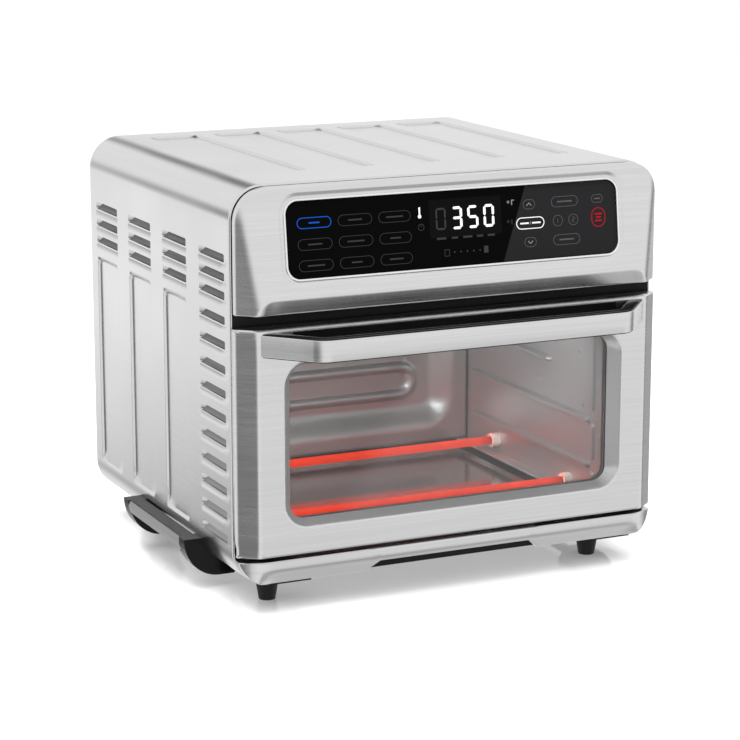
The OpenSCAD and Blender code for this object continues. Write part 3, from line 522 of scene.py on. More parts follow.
def edge_lines(edge, into, width, reach=8):
    """Grid lines across one wall of a pressed panel. into is +1 or -1, the way the panel lies."""
    steps = [-0.5, 0] + [width * f for f in (0.15, 0.3, 0.45, 0.6, 0.75, 0.9, 1)] + [width + 0.8, reach]
    return [edge + into * s for s in steps]


SIDE_WALLS = (2.2, 0.9, 2.6, 4.6)  # front, rear, bottom and top
TOP_WALLS = (2.6, 1.0, 1.6, 1.0)  # left, right, front and rear


def side_press_depth(y, z):
    for start in COLUMN_Y[1:]:
        if start - 1 < y < start + SLOT_LEN + 1:
            return press_depth(y - start - SLOT_LEN / 2, z - (PRESS_LOW + PRESS_HIGH) / 2, SLOT_LEN / 2,
                               (PRESS_HIGH - PRESS_LOW) / 2, SIDE_WALLS, 7, 2.3)
    return 0


def top_press_depth(x, y):
    for i in range(-2, 3):
        if abs(x - i * TOP_PRESS_PITCH) < TOP_PRESS_W / 2 + 1:
            return press_depth(x - i * TOP_PRESS_PITCH, y - sum(TOP_PRESS_Y) / 2, TOP_PRESS_W / 2,
                               (TOP_PRESS_Y[1] - TOP_PRESS_Y[0]) / 2, TOP_WALLS, 6, 1.9)
    return 0


def rounded_edge(cx, cz, r, start, steps):
    """Profile points of one of the wrap's rounded long edges."""
    directions = quarter(0, 0, 1, start, steps)
    return [(x, z, *way, "arc") for (x, z), way in zip(quarter(cx, cz, r, start, steps), directions)]


def shell_profile():
    """The wrap's outline from its lower right lip over the top: x, z, outward direction and part."""
    side_z = [UNDERSIDE + BOTTOM_R, BODY_TOP - TOP_R]
    side_z += [z + s * (SLOT_H / 2 + SLOT_MARGIN) for z in SLOT_ROWS for s in (-1, 1)]
    side_z += edge_lines(PRESS_LOW, 1, SIDE_WALLS[2]) + edge_lines(PRESS_HIGH, -1, SIDE_WALLS[3])
    side_z = [z for z in spread(side_z, 9) if z > UNDERSIDE + BOTTOM_R - 0.01]
    top_x = [HALF_W - TOP_R, TOP_R - HALF_W]
    for i in range(-2, 3):
        top_x += edge_lines(i * TOP_PRESS_PITCH - TOP_PRESS_W / 2, 1, TOP_WALLS[0])
        top_x += edge_lines(i * TOP_PRESS_PITCH + TOP_PRESS_W / 2, -1, TOP_WALLS[1])
    top_x = spread(top_x, 9)
    right = [(LIP_HALF, UNDERSIDE, 0, -1, "flat")]
    right += rounded_edge(HALF_W - BOTTOM_R, UNDERSIDE + BOTTOM_R, BOTTOM_R, -90, 14)
    right += [(HALF_W, z, 1, 0, "side") for z in side_z[1:-1]]
    right += rounded_edge(HALF_W - TOP_R, BODY_TOP - TOP_R, TOP_R, 0, 20)
    top = [(x, BODY_TOP, 0, 1, "top") for x in top_x[-2:0:-1]]
    return right + top + [(-x, z, -nx, nz, kind) for x, z, nx, nz, kind in right[::-1]]


def shell_lines():
    """Depths of the wrap's grid lines, from the front to the rear."""
    columns = []
    for start in COLUMN_Y:
        columns += [start - SLOT_MARGIN, start + SLOT_LEN + SLOT_MARGIN]
    lines_y = list(SHELL_Y) + columns + list(SHELL_Y)
    lines_y += [SHELL_Y[0] + d for d in (0.12, 0.45, 0.9, 1.4, 2.0, 3.0)]
    lines_y += [SHELL_Y[1] - d for d in (0.1, 0.4, 0.9, 1.5)]
    for start in COLUMN_Y[1:]:
        lines_y += edge_lines(start, 1, SIDE_WALLS[0]) + edge_lines(start + SLOT_LEN, -1, SIDE_WALLS[1])
    lines_y += edge_lines(TOP_PRESS_Y[0], 1, TOP_WALLS[2]) + edge_lines(TOP_PRESS_Y[1], -1, TOP_WALLS[3])
    return spread([y for y in lines_y if SHELL_Y[0] <= y <= SHELL_Y[1]], 11)


def nearest(values, wanted):
    return min(range(len(values)), key=lambda i: abs(values[i] - wanted))


def shell():
    profile = shell_profile()
    lines_y = shell_lines()
    verts = []
    for x, z, nx, nz, kind in profile:
        for y in lines_y:
            depth = fillet(y - SHELL_Y[0], 2.0) + fillet(SHELL_Y[1] - y, 1.5)
            if kind == "side":
                depth += side_press_depth(y, z)
            elif kind == "top":
                depth += top_press_depth(x, y)
            verts.append((x - nx * depth, y, z - nz * depth))
    across = len(lines_y)
    taken = set()
    patches = []
    for side in (1, -1):
        rows = [i for i, p in enumerate(profile) if p[4] == "side" and p[0] * side > 0]
        heights = [profile[i][1] for i in rows]
        for column, y0 in enumerate(COLUMN_Y):
            j0 = nearest(lines_y, y0 - SLOT_MARGIN)
            j1 = nearest(lines_y, y0 + SLOT_LEN + SLOT_MARGIN)
            for z in SLOT_ROWS if column == 0 else SLOT_ROWS[:3]:
                a = rows[nearest(heights, z - SLOT_H / 2 - SLOT_MARGIN)]
                b = rows[nearest(heights, z + SLOT_H / 2 + SLOT_MARGIN)]
                i0, i1 = min(a, b), max(a, b)
                taken |= {(i, j) for i in range(i0, i1) for j in range(j0, j1)}
                loop = [(i0, j) for j in range(j0, j1)] + [(i, j1) for i in range(i0, i1)]
                loop += [(i1, j) for j in range(j1, j0, -1)] + [(i, j0) for i in range(i1, i0, -1)]
                patches.append(slot_patch(side, y0, z, [verts[i * across + j] for i, j in loop]))
    faces = grid_faces(len(profile), across, taken)
    # faces of the louvre flaps, which take the flap material painted dark as painted shade
    dark = []
    plain = len(faces)
    for patch_verts, patch_faces, flaps in patches:
        dark += [len(faces) + k for k in flaps]
        start = len(verts)
        verts += patch_verts
        faces += [tuple(start + k for k in f) for f in patch_faces]
    piece = build("shell", verts, faces, shell_steel, "root", ["outer_shell"],
                  second=dark, flat=range(plain, len(faces)))
    piece.data.materials.append(flap_painted_shade)
    thicken(piece, 1.1)
    even = piece.modifiers.new("even", "WEIGHTED_NORMAL")
    even.keep_sharp = True


# ---------------- control panel


def panel_depth(x, z):
    """Depth of the control panel's surface at a point of its front view."""
    ax = abs(x)
    r = TOP_R - 1
    cx, cz = FRONT_HALF - r, PANEL_HIGH - r
    face = -PANEL_LEAN + (z - FACE_LOW) * PANEL_SLOPE
    bend = 15.0
    reach = FRONT_HALF - FACET_W - bend
    over = min(max((ax - reach) / bend, 0), 1)
    crease = PANEL_LOW + (FACE_LOW - PANEL_LOW) * math.sqrt(1 - over * over)
    face += smooth_max(crease - z, 0, 1.2) * 0.357
    if z > cz and ax > cx:
        rim = r - math.hypot(ax - cx, z - cz)
        turn = math.atan2(z - cz, ax - cx) / (math.pi / 2)
    elif z > cz and PANEL_HIGH - z < FRONT_HALF - ax:
        rim, turn = PANEL_HIGH - z, 1
    else:
        rim, turn = FRONT_HALF - ax, 0
    facet = FACET_D - rim * 0.9 - 6 * smooth_step(turn)
    depth = smooth_max(face, facet, 6.0)
    edge = min(rim, z - PANEL_LOW)
    depth += fillet(edge, 1.2)
    mid = (DISPLAY_LOW + DISPLAY_TOP) / 2
    gap = outside_of(x, z - mid, DISPLAY_HALF, (DISPLAY_TOP - DISPLAY_LOW) / 2, DISPLAY_R)
    depth += 1.7 * (1 - smooth_step((gap - 3.6) / 4.6))
    depth -= 0.9 * smooth_step((3.0 - gap) / 1.6)
    return depth + 2.6 * (1 - smooth_step(gap / 1.3))


def ring_at(half, low, high, r_low, r_high, depth, **counts):
    """An outline's points, set back by depth(x, z)."""
    return [(x, depth(x, z), z) for x, z in outline(half, low, high, r_low, r_high, **counts)]


def bezel():
    """The control panel's steel, in rings from the display's opening to its turned-back outer edge."""
    counts = {"arc": 14, "across": 84, "up": 26}
    rings = []
    for q in (0, 0.2, 0.4, 0.65, 0.9, 1.15, 1.4, 1.8, 2.2, 2.6, 3.0, 3.5, 4.2, 5, 5.8, 6.6, 7.4, 8.2, 9.2):
        inner = (DISPLAY_HALF + q, DISPLAY_LOW - q, DISPLAY_TOP + min(q, 8.6), DISPLAY_R + q, DISPLAY_R + q)
        rings.append(ring_at(*inner, panel_depth, **counts))
    outer = (FRONT_HALF, PANEL_LOW, PANEL_HIGH, 1.5, TOP_R - 1)
    steps = 40
    for i in range(1, steps + 1):
        rings.append(ring_at(*between(inner, outer, i / steps), panel_depth, **counts))
    edge = rings[-1]
    rings.append([(x, max(y, 15.5), z) for x, y, z in edge])
    inset = ring_at(FRONT_HALF - 1.4, PANEL_LOW + 1, PANEL_HIGH - 1.2, 1.5, TOP_R - 2.2,
                    lambda x, z: 16.5, **counts)
    rings.append(inset)
    rings.append([(x, SHELL_Y[0] - 0.2, z) for x, y, z in inset])
    verts, faces = loft(rings)
    piece = build("bezel", verts, [f[::-1] for f in faces], panel_steel, "root", ["control_bezel"],
                  False)
    thicken(piece, 1.0)


def rim_edge():
    """The cut edge of the control panel's opening: polished, and given a brighter steel as a painted
    highlight.
    """
    rings = []
    for q, back in ((0.15, 1.6), (0.15, 0.5), (0.35, 0.15), (0.75, 0), (1.5, 0), (1.9, 0.15), (2.1, 0.5)):
        rings.append(ring_at(DISPLAY_HALF + q, DISPLAY_LOW - q, DISPLAY_TOP + q, DISPLAY_R + q, DISPLAY_R + q,
                             lambda x, z, b=back: -PANEL_LEAN + (z - FACE_LOW) * PANEL_SLOPE + 0.55 + b,
                             arc=12, across=4, up=3))
    verts, faces = loft(rings)
    piece = build("rim_edge", verts, [f[::-1] for f in faces], edge_highlight_steel, "root",
                  closed=False)
    thicken(piece, 0.25)


# ---------------- door


WINDOW_HALF, WINDOW_R, BEVEL_X, BEVEL_Z, GLASS_IN = FRONT_HALF - 39, 23, 9, 5, 11
WINDOW_LOW, WINDOW_HIGH = DOOR_LOW + 23, DOOR_HIGH - 28
BEVEL_RINGS = 11
EAR_LOW, EAR_HIGH = FRONT_HALF - 34, FRONT_HALF - 20


def door_depth(x, z):
    """Depth of the door's face, with a facet along each side and rounded edges."""
    facet = FACET_D - (FRONT_HALF - abs(x)) * FACET_D / FACET_W
    edge = min(FRONT_HALF - abs(x), z - DOOR_LOW, DOOR_HIGH - z)
    return smooth_max(0, facet, 1.2) + fillet(edge, 1.1)


def turned_edge(x, z):
    """How far the door's outer edge is turned back. It is cut short where the hinge brackets pass through."""
    if z < DOOR_LOW + 0.1 and EAR_LOW < abs(x) < EAR_HIGH:
        return 1.4
    return 14 + 3.8 * smooth_step((z - DOOR_LOW - 9) / 5)


def door():
    """The door's steel, in rings from the glass over the window's bevel to the turned-back edge."""
    counts = {"arc": 14, "across": 70, "up": 46}
    rings = []
    glass_ring = (WINDOW_HALF - BEVEL_X, WINDOW_LOW + BEVEL_Z, WINDOW_HIGH - BEVEL_Z, WINDOW_R - BEVEL_X,
                  WINDOW_R - BEVEL_X)
    face_ring = (WINDOW_HALF, WINDOW_LOW, WINDOW_HIGH, WINDOW_R, WINDOW_R)
    for t in (0, 0.03, 0.15, 0.3, 0.45, 0.6, 0.75, 0.85, 0.91, 0.95, 0.98, 1.01, 1.04, 1.08, 1.13, 1.2):
        drop = smooth_max(0, GLASS_IN * (1 - t), 1.0)
        rings.append(ring_at(*between(glass_ring, face_ring, t), lambda x, z, d=drop: d, **counts))
    start = between(glass_ring, face_ring, 1.2)
    outer = (FRONT_HALF, DOOR_LOW, DOOR_HIGH, 1.2, 1.2)
    steps = 34
    for i in range(1, steps + 1):
        rings.append(ring_at(*between(start, outer, i / steps), door_depth, **counts))
    edge = rings[-1]
    rings.append([(x, max(y, min(13.8, turned_edge(x, z) - 0.2)), z) for x, y, z in edge])
    rings.append([(x, turned_edge(x, z), z) for x, y, z in edge])
    verts, faces = loft(rings)
    piece = build("door_front", verts, faces, front_steel, "door", ["door_skin"],
                  second=range(BEVEL_RINGS * len(rings[0])))
    piece.data.materials.append(bevel_steel)
    thicken(piece, 1.0)


HANDLE_REACH, HANDLE_BEND_R = 45, 22


def bow(inset, back, bends=18):
    """Plan of the handle's bow from its left end to its right end, moved in from its outer face."""
    half = FRONT_HALF - 17.5
    bend_half = half - 38.5
    slant = math.atan2(HANDLE_REACH, half - bend_half)
    cx = bend_half - HANDLE_BEND_R * math.tan(slant / 2)
    r = HANDLE_BEND_R - inset
    right = []
    for i in range(bends + 1):
        a = -math.pi / 2 + slant * i / bends
        right.append((cx + r * math.cos(a), -HANDLE_REACH + HANDLE_BEND_R + r * math.sin(a)))
    end_x = half - inset / math.sin(slant) + back / math.tan(slant)
    last = right[-1]
    right += [tuple(between(last, (end_x, back), i / 4)) for i in range(1, 5)]
    middle = [(x, -HANDLE_REACH + inset) for x in (-100, -50, 0, 50, 100)]
    return [(-x, y) for x, y in right[::-1]] + middle + right


def bow_bar(name, near, far, low, high, r_out, r_in, back, material, replaces, slot):
    """A bar that follows the handle's bow between two insets, with rounded outer and inner edges."""
    outer, inner = bow(near, back), bow(far, back)
    rings = []
    for (ox, oy), (ix, iy) in zip(outer, inner):
        thick = math.hypot(ix - ox, iy - oy)
        ux, uy = (ix - ox) / thick, (iy - oy) / thick
        section = []
        for cu, cz, r, start in ((r_out, low + r_out, r_out, 180), (thick - r_in, low + r_in, r_in, 270),
                                 (thick - r_in, high - r_in, r_in, 0), (r_out, high - r_out, r_out, 90)):
            section += quarter(cu, cz, r, start, 4)
        rings.append([(ox + ux * u, oy + uy * u, z) for u, z in section])
    verts, faces = loft(rings)
    count = len(rings[0])
    faces += [tuple(range(count)), tuple(range(len(verts) - count, len(verts)))]
    build(name, verts, faces, material, "door", replaces)


# ---------------- crumb tray front


TRAY_TOP = span("crumb_tray_front", 2)[1]
TRAY_LOW = UNDERSIDE + 1
TRAY_R = BOTTOM_R - 1
NOTCH_HALF, NOTCH_TOP, NOTCH_FOOT = 74, UNDERSIDE + 10, 85


def tray_edge(x):
    """Height of the front panel's lower edge."""
    ax = abs(x)
    cx = FRONT_HALF - TRAY_R
    if ax < NOTCH_FOOT:
        slope = min(max((NOTCH_FOOT - ax) / (NOTCH_FOOT - NOTCH_HALF), 0), 1)
        return TRAY_LOW + (NOTCH_TOP - TRAY_LOW) * slope
    if ax <= cx:
        return TRAY_LOW
    return TRAY_LOW + TRAY_R - math.sqrt(max(TRAY_R * TRAY_R - (ax - cx) ** 2, 0))


def tray_depth(x, z, bottom):
    """Depth of the front panel's face: a chamfer along its foot, and corners that curve back."""
    out = max(abs(x) - FRONT_HALF + 27, 0) / 27
    chamfer = (TRAY_TOP - 9 - z) * 7 / 12.5
    fade = 1 - smooth_step((abs(x) - FRONT_HALF + 30) / 18)
    depth = smooth_max(0, chamfer, 1.4) * fade + 11 * out * out
    return depth + fillet(min(TRAY_TOP - z, z - bottom, FRONT_HALF - abs(x)), 0.9)


def tray_front():
    tip = FRONT_HALF - TRAY_R + math.sqrt(TRAY_R ** 2 - (TRAY_R - (TRAY_TOP - TRAY_LOW)) ** 2)
    xs = [0, NOTCH_HALF - 0.6, NOTCH_HALF, NOTCH_HALF + 0.8, NOTCH_FOOT - 0.8, NOTCH_FOOT, NOTCH_FOOT + 0.8]
    xs += [FRONT_HALF - FACET_W + d for d in (-3, -2, -1.2, -0.6, 0, 0.6, 1.2, 2, 3)]
    end = tip - 0.05
    right = spread(spread(xs + [end], 6) + [end - d for d in (0.3, 0.8, 1.5, 2.4, 3.5, 5, 7, 9)], 6)
    columns = [-x for x in right[:0:-1]] + right
    rows = []
    for t in (0, 0.03, 0.07, 0.14, 0.22, 0.3, 0.38, 0.46, 0.52, 0.57, 0.62, 0.68, 0.76, 0.85, 0.92, 0.96, 1):
        row = []
        for x in columns:
            bottom = tray_edge(x)
            z = bottom + (TRAY_TOP - bottom) * t
            row.append((x, tray_depth(x, z, bottom), z))
        rows.append(row)
    back = SHELL_Y[0] - 0.8
    n = len(columns)
    verts = [p for row in rows for p in row]
    faces = grid_faces(len(rows), n)
    rim = [(0, j) for j in range(n)] + [(i, n - 1) for i in range(1, len(rows))]
    rim += [(len(rows) - 1, j) for j in range(n - 2, -1, -1)] + [(i, 0) for i in range(len(rows) - 2, 0, -1)]
    start = len(verts)
    verts += [(rows[i][j][0], back, rows[i][j][2]) for i, j in rim]
    for k, (i, j) in enumerate(rim):
        i2, j2 = rim[(k + 1) % len(rim)]
        faces.append((i * n + j, start + k, start + (k + 1) % len(rim), i2 * n + j2))
    piece = build("tray_front", verts, faces, front_steel, "tray", ["crumb_tray_front"])
    thicken(piece, 1.0)


# ---------------- cavity


CAVITY_HALF, CAVITY_LOW, CAVITY_HIGH, CAVITY_BACK = 165, 54, 245, 300
RAILS = [82, 125, 168]
RAIL_FRONTS = [54, 54, 130]
DOME_HALF, DOME_HALF_H, DOME_R, DOME_WALL, DOME_DEPTH = 150, 83, 34, 26, 11.5
OVAL_HALF, OVAL_Z = 93, 118
FLOOR_FLANGE = 14


def cavity_rear():
    """The back wall: a broad pressed dome with sloping sides, and a long oval ridge on it."""
    xs = spread([-CAVITY_HALF, CAVITY_HALF, -113, 113, -73, 73], 3.2)
    zs = spread([CAVITY_LOW, CAVITY_HIGH, OVAL_Z, OVAL_Z - 20, OVAL_Z + 20], 3.0)
    mid = (CAVITY_LOW + CAVITY_HIGH) / 2
    verts = []
    for z in zs:
        for x in xs:
            inside = -outside_of(x, z - mid, DOME_HALF, DOME_HALF_H, DOME_R)
            depth = DOME_DEPTH * smooth_step(inside / DOME_WALL)
            oval = math.hypot(max(abs(x) - OVAL_HALF, 0), z - OVAL_Z)
            depth -= 4.2 * smooth_step((20.5 - oval) / 4.5) - 3.6 * smooth_step((12.5 - oval) / 4.5)
            verts.append((x, CAVITY_BACK + depth, z))
    faces = grid_faces(len(zs), len(xs))
    piece = build("cavity_rear", verts, faces, inner_steel, "root", ["cavity_back"], False)
    thicken(piece, 0.8)


def ridge(distance, half, wall, height):
    """Height of a pressed ridge with a flat crown at a distance from its middle line."""
    return height * smooth_step((half + wall - distance) / wall)


def wall_relief(y, z):
    """How far the side wall's ridges and dimples stand into the cavity."""
    relief = 0
    for rail, front in zip(RAILS, RAIL_FRONTS):
        gap = max(front - y, y - 282, 0)
        relief = max(relief, ridge(math.hypot(gap, z - rail - 2.5), 1.6, 1.9, 4.6))
    for low, high in ((62, 75), (95, 121), (142, 234)):
        gap = max(low - z, z - high, 0)
        relief = max(relief, ridge(math.hypot(gap, y - 47.5), 3.0, 1.6, 2.4))
    for dy, dz in ((37, 113), (66, 139), (33, 177), (75, 189), (150, 148), (240, 148)):
        relief = max(relief, ridge(math.hypot(y - dy, z - dz), 0.8, 2.0, 1.6))
    return relief


def cavity_wall(side):
    """One side wall with its rack rails, and the flange turned in along the floor."""
    ys = [22, 124, 126, 128, 130, 279, 281, 283, 286, CAVITY_BACK]
    ys = spread(ys + [28 + 1.1 * i for i in range(48)], 4.2)
    zs = [CAVITY_LOW, CAVITY_HIGH]
    for rail in RAILS:
        zs += [rail + d for d in (-2, -1.2, -0.4, 0.3, 1, 2.5, 4, 4.7, 5.4, 6.2, 7)]
    zs = spread(zs, 1.6)
    verts = [(side * (CAVITY_HALF - wall_relief(y, z)), y, z) for z in zs for y in ys]
    n = len(ys)
    faces = grid_faces(len(zs), n)
    start = len(verts)
    for x in (CAVITY_HALF, CAVITY_HALF - FLOOR_FLANGE):
        verts += [(side * x, y, CAVITY_LOW) for y in ys]
    for j in range(n - 1):
        faces.append((start + j, start + j + 1, start + n + j + 1, start + n + j))
    if side > 0:
        faces = [f[::-1] for f in faces]
    return verts, faces


def cavity_sides():
    verts, faces = [], []
    for side in (-1, 1):
        more, more_faces = cavity_wall(side)
        faces += [tuple(len(verts) + k for k in f) for f in more_faces]
        verts += more
    piece = build("cavity_sides", verts, faces, wall_steel, "root", ["cavity_liner"], False)
    thicken(piece, 0.8)


# ---------------- marks on the display


def on_panel(x, up, proud):
    """A point of the display's face: x along it and up it, from the chamfer's edge."""
    depth = DISPLAY_IN - proud
    cos_t, sin_t = math.cos(PANEL_TILT), math.sin(PANEL_TILT)
    return (x, -PANEL_LEAN + depth * cos_t + up * sin_t, FACE_LOW + up * cos_t - depth * sin_t)


class Marks:
    """Flat marks of one finish, gathered into one thin piece. proud is how far they stand off the glass."""

    def __init__(self, name, material, proud=0.10):
        self.name, self.material, self.proud = name, material, proud
        self.verts, self.faces = [], []

    def fill(self, points):
        start, n = len(self.verts), len(points)
        self.verts += [on_panel(x, u, self.proud) for x, u in points]
        self.verts += [on_panel(x, u, self.proud - 0.05) for x, u in points]
        self.faces.append(tuple(range(start, start + n)))
        self.faces.append(tuple(range(start + 2 * n - 1, start + n - 1, -1)))
        for i in range(n):
            j = (i + 1) % n
            self.faces.append((start + i, start + n + i, start + n + j, start + j))

    def bar(self, x, up, w, h):
        self.fill([(x - w / 2, up - h / 2), (x + w / 2, up - h / 2), (x + w / 2, up + h / 2),
                   (x - w / 2, up + h / 2)])

    def disc(self, x, up, r, count=20):
        self.fill([(x + r * math.cos(2 * math.pi * i / count), up + r * math.sin(2 * math.pi * i / count))
                   for i in range(count)])

    def ring(self, x, up, w, h, r, line):
        """The outline of a rounded rectangle, as a closed strip."""
        def loop(inset):
            radius = max(r - inset, 0.05)
            points = []
            for cx, cz, a0 in ((w / 2 - r, h / 2 - r, 0), (r - w / 2, h / 2 - r, 90),
                               (r - w / 2, r - h / 2, 180), (w / 2 - r, r - h / 2, 270)):
                points += quarter(x + cx, up + cz, radius, a0, 8)
            return points
        outer, inner = loop(0), loop(line)
        n = len(outer)
        for i in range(n):
            j = (i + 1) % n
            self.fill([outer[i], outer[j], inner[j], inner[i]])

    def stroke(self, a, b, width):
        dx, du = b[0] - a[0], b[1] - a[1]
        length = math.hypot(dx, du)
        px, pu = -du / length * width / 2, dx / length * width / 2
        self.fill([(a[0] + px, a[1] + pu), (a[0] - px, a[1] - pu),
                   (b[0] - px, b[1] - pu), (b[0] + px, b[1] + pu)])

    def digit(self, x, up, w, h, segments, line=2.0):
        """A seven-segment digit. Segments are named a to g as usual."""
        gap = 0.25
        ends = {"a": ((-w / 2, h / 2), (w / 2, h / 2)), "g": ((-w / 2, 0), (w / 2, 0)),
                "d": ((-w / 2, -h / 2), (w / 2, -h / 2)), "f": ((-w / 2, h / 2), (-w / 2, 0)),
                "b": ((w / 2, h / 2), (w / 2, 0)), "e": ((-w / 2, 0), (-w / 2, -h / 2)),
                "c": ((w / 2, 0), (w / 2, -h / 2))}
        for name in segments:
            (x0, u0), (x1, u1) = ends[name]
            length = math.hypot(x1 - x0, u1 - u0)
            dx, du = (x1 - x0) / length, (u1 - u0) / length
            t = line / 2
            body = []
            for along, across in ((gap, 0), (gap + t, t), (length - gap - t, t), (length - gap, 0),
                                  (length - gap - t, -t), (gap + t, -t)):
                body.append((x + x0 + dx * along - du * across, up + u0 + du * along + dx * across))
            self.fill(body)

    def finish(self):
        build(self.name, self.verts, self.faces, self.material)


def display_marks():
    """The lit digits, the key outlines with plain bars for their legends, and the small signs."""
    white = Marks("marks_white", lit_white)
    blue = Marks("marks_blue", lit_blue)
    red = Marks("marks_red", lit_red)
    dim = Marks("marks_dim", mark_dim)
    faint = Marks("marks_faint", mark_faint, 0.04)
    soft = Marks("marks_soft", mark_soft)
    mid = Marks("marks_mid", mark_mid)
    faint.bar(9.8, 58.5, 70, 33)
    for x, segments in ((1.3, "abgcd"), (16.9, "afgcd"), (32.5, "abcdef")):
        white.digit(x, 58.2, 8.2, 17.4, segments, 2.3)
    dim.digit(-14.3, 58.2, 8.2, 17.4, "abcdef", 1.6)
    for row, up in enumerate((63.2, 45, 27)):
        for column, x in enumerate((-133.6, -95.6, -58.3)):
            chosen = row == 0 and column == 0
            marks = blue if chosen else dim
            marks.ring(x, up, 32 if column < 2 else 30.5, 9.6, 4.8, 0.75 if chosen else 0.45)
            marks.bar(x, up, 10 + 3 * ((row + column) % 3), 1.3)
    white.disc(-34.5, 61.6, 1.6)
    white.bar(-34.5, 66, 1.5, 7)
    dim.ring(-33.5, 52.3, 6, 6, 3, 0.5)
    dim.stroke((-33.5, 52.3), (-33.5, 54.4), 0.5)
    mid.ring(52, 68.5, 2.4, 2.4, 1.2, 0.6)
    mid.bar(55.5, 68, 1, 4.6)
    mid.bar(56.7, 69.9, 2.6, 0.9)
    dim.ring(51.4, 51.5, 2.4, 2.4, 1.2, 0.6)
    dim.bar(55, 51, 0.8, 4.4)
    for x, w in ((-14.5, 9), (-1.5, 6), (11, 9), (23, 6), (34, 7)):
        dim.bar(x, 41.2, w, 1.8)
    dim.ring(-9.7, 28.5, 5, 6, 0.8, 0.5)
    dim.bar(28.4, 29, 4.2, 6)
    for i in range(5):
        dim.disc(-2.4 + i * 6.2, 28.7, 0.75, 12)
    for up, way in ((65.2, 1), (32, -1)):
        soft.ring(72.6, up, 12, 8.6, 4.2, 0.5)
        mid.stroke((70.2, up - 1.1 * way), (72.6, up + 1.2 * way), 0.7)
        mid.stroke((72.6, up + 1.2 * way), (75, up - 1.1 * way), 0.7)
    white.ring(73.2, 48.8, 28, 10.4, 5.2, 0.7)
    white.bar(67.4, 48.8, 8.4, 1.3)
    white.bar(79.2, 48.8, 8.4, 1.3)
    mid.bar(73.2, 48.8, 0.6, 3)
    for x, up in ((108.3, 65.6), (109, 32)):
        soft.ring(x, up, 27, 9.4, 4.7, 0.5)
        soft.bar(x, up, 15, 1.3)
    for x, segments in ((100.8, "bc"), (116.5, "abged")):
        soft.ring(x, 49, 10, 10, 5, 0.5)
        soft.digit(x - (1.2 if segments == "bc" else 0), 49, 2.4, 4.2, segments, 0.6)
    soft.ring(141.4, 66, 11.4, 7.4, 3.4, 0.5)
    soft.bar(141.4, 66, 6, 1.2)
    red.ring(142, 49.4, 14.2, 17.4, 7, 0.8)
    for offset, w in ((3, 7), (0, 5), (-3, 7)):
        red.bar(142, 49.4 + offset, w, 1.5)
    for marks in (white, blue, red, dim, faint, soft, mid):
        marks.finish()


# ---------------- the CAD pieces that stay


def paint(node, material, width):
    """Gives a CAD node its material, and rounds its edges if a width is given. Its mesh stays as it is."""
    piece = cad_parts[node]
    piece.modifiers.new("weld", "WELD").merge_threshold = 2e-5
    if width:
        bevel = piece.modifiers.new("edges", "BEVEL")
        bevel.width = width * MM
        bevel.segments = 2
        bevel.limit_method = "ANGLE"
        bevel.angle_limit = math.radians(35)
    piece.data.materials.clear()
    piece.data.materials.append(material)
    for polygon in piece.data.polygons:
        polygon.material_index = 0


def pair(name):
    return [name + "_left", name + "_right"]


FEET = pair("foot_front") + pair("foot_rear")
PAINTED = {
    black_satin: ["front_frame", "tray_runners", "crumb_tray_grip", "rear_spacers", "cord_gland",
                  "door_switch"],
    seal_grey: ["window_seal"],
    black_rubber: FEET,
    back_steel: ["rear_panel", "base_plate", "heat_shield", "motor_bracket", "fan_housing", "ceiling_grille",
                 "door_inner_panel"],
    inner_steel: ["convection_fan"],
    tray_steel: ["crumb_tray"],
    small_steel: ["motor_shaft", "motor_body", "heat_probe", "handle_screws", *pair("hinge_arm"),
                  *pair("hinge_bracket"), "hinge_pins", "rear_screws", "panel_screws"],
    trim_steel: pair("carry_trim"),
    ceramic: ["heater_caps", "terminal_block", "lamp_holder"],
    board_green: ["power_board", "control_board"],
    fan_white: ["cooling_fan", "lamp_bulb", "display_module", "thermal_cutout"],
    tube_glow: ["heater_lower_front", "heater_lower_rear"],
    tube_dark: ["heater_upper_front", "heater_upper_rear"],
    glass: ["door_glass", "lamp_lens"],
    panel_black: ["display_glass"],
    black_gloss: ["handle_base", *pair("carry_handle")],
}
# widths of the rounded edges
ROUNDED = {"crumb_tray_grip": 0.6, "handle_base": 0.5, "cord_gland": 0.6, "rear_spacers": 0.8,
           **dict.fromkeys(pair("carry_handle"), 1.0), **dict.fromkeys(FEET, 0.9)}


# ---------------- room, lights and camera


ROOM_BASE = 1.12
# each lobe: direction, (radius of its full effect, radius where it ends), brightness added
ROOM_LOBES = [
    ((-0.80, -0.52, -0.28), (0.15, 0.56), -0.92),
    ((0.96, 0.14, -0.22), (0.12, 0.40), -0.80),
    ((0.38, -0.66, -0.65), (0.12, 0.50), -0.60),
    ((0.20, 0.05, -1.00), (0.2, 0.7), -0.45),
    ((-0.38, 0.84, -0.42), (0.08, 0.26), -0.95),
    ((-0.32, 0.93, -0.17), (0.02, 0.12), 0.35),
    ((-0.46, 0.88, -0.02), (0.05, 0.17), -1.00),
    ((0.22, 0.88, 0.40), (0.05, 0.22), -1.10),
]


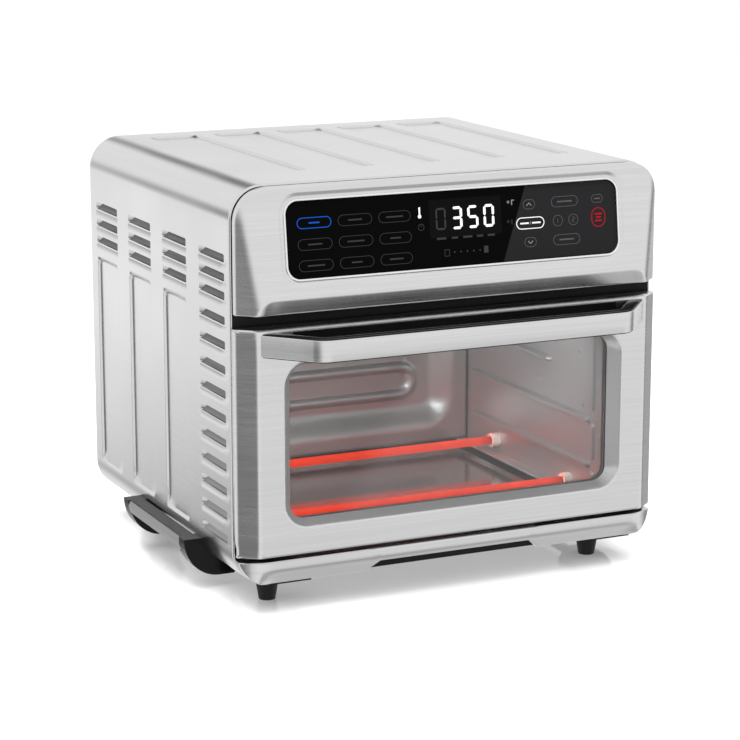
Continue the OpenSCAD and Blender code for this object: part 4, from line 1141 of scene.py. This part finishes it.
def studio():
    """A white room. What the steel mirrors is soft: bright all round, with darker stands here and there."""
    world = bpy.data.worlds.new("studio")
    bpy.context.scene.world = world
    world.use_nodes = True
    tree = world.node_tree
    tree.nodes.clear()
    output = add_node(tree, "OutputWorld")
    mix = add_node(tree, "MixShader")
    path = add_node(tree, "LightPath")
    seen = add_node(tree, "Background", Color=(1, 1, 1, 1))
    room = add_node(tree, "Background")
    coords = add_node(tree, "TexCoord")
    total = ROOM_BASE
    for centre, (full, end), gain in ROOM_LOBES:
        distance = add_node(tree, "VectorMath")
        distance.operation = "DISTANCE"
        distance.inputs[1].default_value = centre
        feed(distance, 0, coords.outputs["Generated"])
        lobe = map_range(tree, distance.outputs["Value"], end, full, 0, gain, "SMOOTHSTEP")
        total = math_node(tree, "ADD", total, lobe)
    feed(room, "Strength", math_node(tree, "MAXIMUM", total, 0.02))
    feed(mix, "Fac", path.outputs["Is Camera Ray"])
    feed(mix, 1, room.outputs["Background"])
    feed(mix, 2, seen.outputs["Background"])
    feed(output, "Surface", mix.outputs["Shader"])


def floor():
    """A pale, glossy table top that fades into the white room."""
    size = 8.0
    mesh = bpy.data.meshes.new("floor")
    corners = [(-size, -size, 0), (size, -size, 0), (size, size, 0), (-size, size, 0)]
    mesh.from_pydata(corners, [], [(0, 1, 2, 3)])
    material = shader("floor_white", (0.92,) * 3, 0.0, 0.05, Specular_IOR_Level=0.8,
                      Emission_Color=(1, 1, 1, 1), Emission_Strength=0.12)[0]
    mesh.materials.append(material)
    piece = add_object("floor", mesh)
    piece.visible_glossy = False


def softbox(name, place, target, size, power, color=(1, 1, 1), mirrored=False):
    """A soft rectangular lamp that shines at a target. mirrored says whether the steel shows it."""
    light = bpy.data.lights.new(name, "AREA")
    light.shape = "RECTANGLE"
    light.size, light.size_y = size
    light.energy = power
    light.color = color
    lamp = add_object(name, light)
    lamp.location = place
    lamp.rotation_mode = "QUATERNION"
    lamp.rotation_quaternion = (Vector(target) - Vector(place)).to_track_quat("-Z", "Y")
    lamp.visible_glossy = mirrored
    lamp.visible_camera = False


def camera():
    data = bpy.data.cameras.new("camera")
    data.lens = 120.77
    data.sensor_width = 36
    data.clip_start, data.clip_end = 0.05, 60
    eye = add_object("camera", data)
    eye.location = (-0.96973, -2.05821, 0.67525)
    eye.rotation_euler = (math.radians(90 - 12.618), 0, math.radians(-25.133))
    bpy.context.scene.camera = eye


def lights():
    """The room's two lamps, the red light of the lower tubes, and the light that falls into the cavity."""
    softbox("key", (-0.9, -0.9, 1.9), (0, 0, 0.1), (1.6, 1.6), 30)
    softbox("overhead", (0, 0.2, 2.6), (0, 0, 0), (3.0, 3.0), 110)
    for tube_y, tube_z in ((0.090, 0.0735), (0.234, 0.0795)):
        y = FACE + tube_y
        number = tube_y * 1000
        softbox("glow_down_%d" % number, (0, y, tube_z), (0, y, 0), (0.30, 0.01), 0.07, (1.0, 0.09, 0.03))
        softbox("glow_side_%d" % number, (0.10, y, tube_z), (0.165, y, tube_z + 0.01), (0.02, 0.02),
                0.03, (1.0, 0.12, 0.05))
    softbox("inside", (0, FACE + 0.06, 0.235), (0.0, FACE + 0.24, 0.10), (0.26, 0.08), 0.85)
    softbox("inside_glint", (-0.08, FACE + 0.05, 0.225), (0.02, FACE + 0.30, 0.13), (0.16, 0.03), 0.22,
            mirrored=True)


camera()
studio()
floor()
lights()
bpy.context.scene.view_settings.view_transform = "Standard"

shell()
bezel()
rim_edge()
door()
bow_bar("handle_strip", 0, 1.2, *span("handle_band", 2), 0.5, 0.5, -1.2, front_steel,
        ["handle_band"], "door_steel")
bow_bar("handle_grip", 1.2, 13.2, *span("handle_core", 2), 0.4, 2.6, -0.05, black_gloss,
        ["handle_core"], "handle_black")
tray_front()
cavity_rear()
cavity_sides()
display_marks()
for finish_material, nodes in PAINTED.items():
    for node_name in nodes:
        paint(node_name, finish_material, ROUNDED.get(node_name, 0.0))
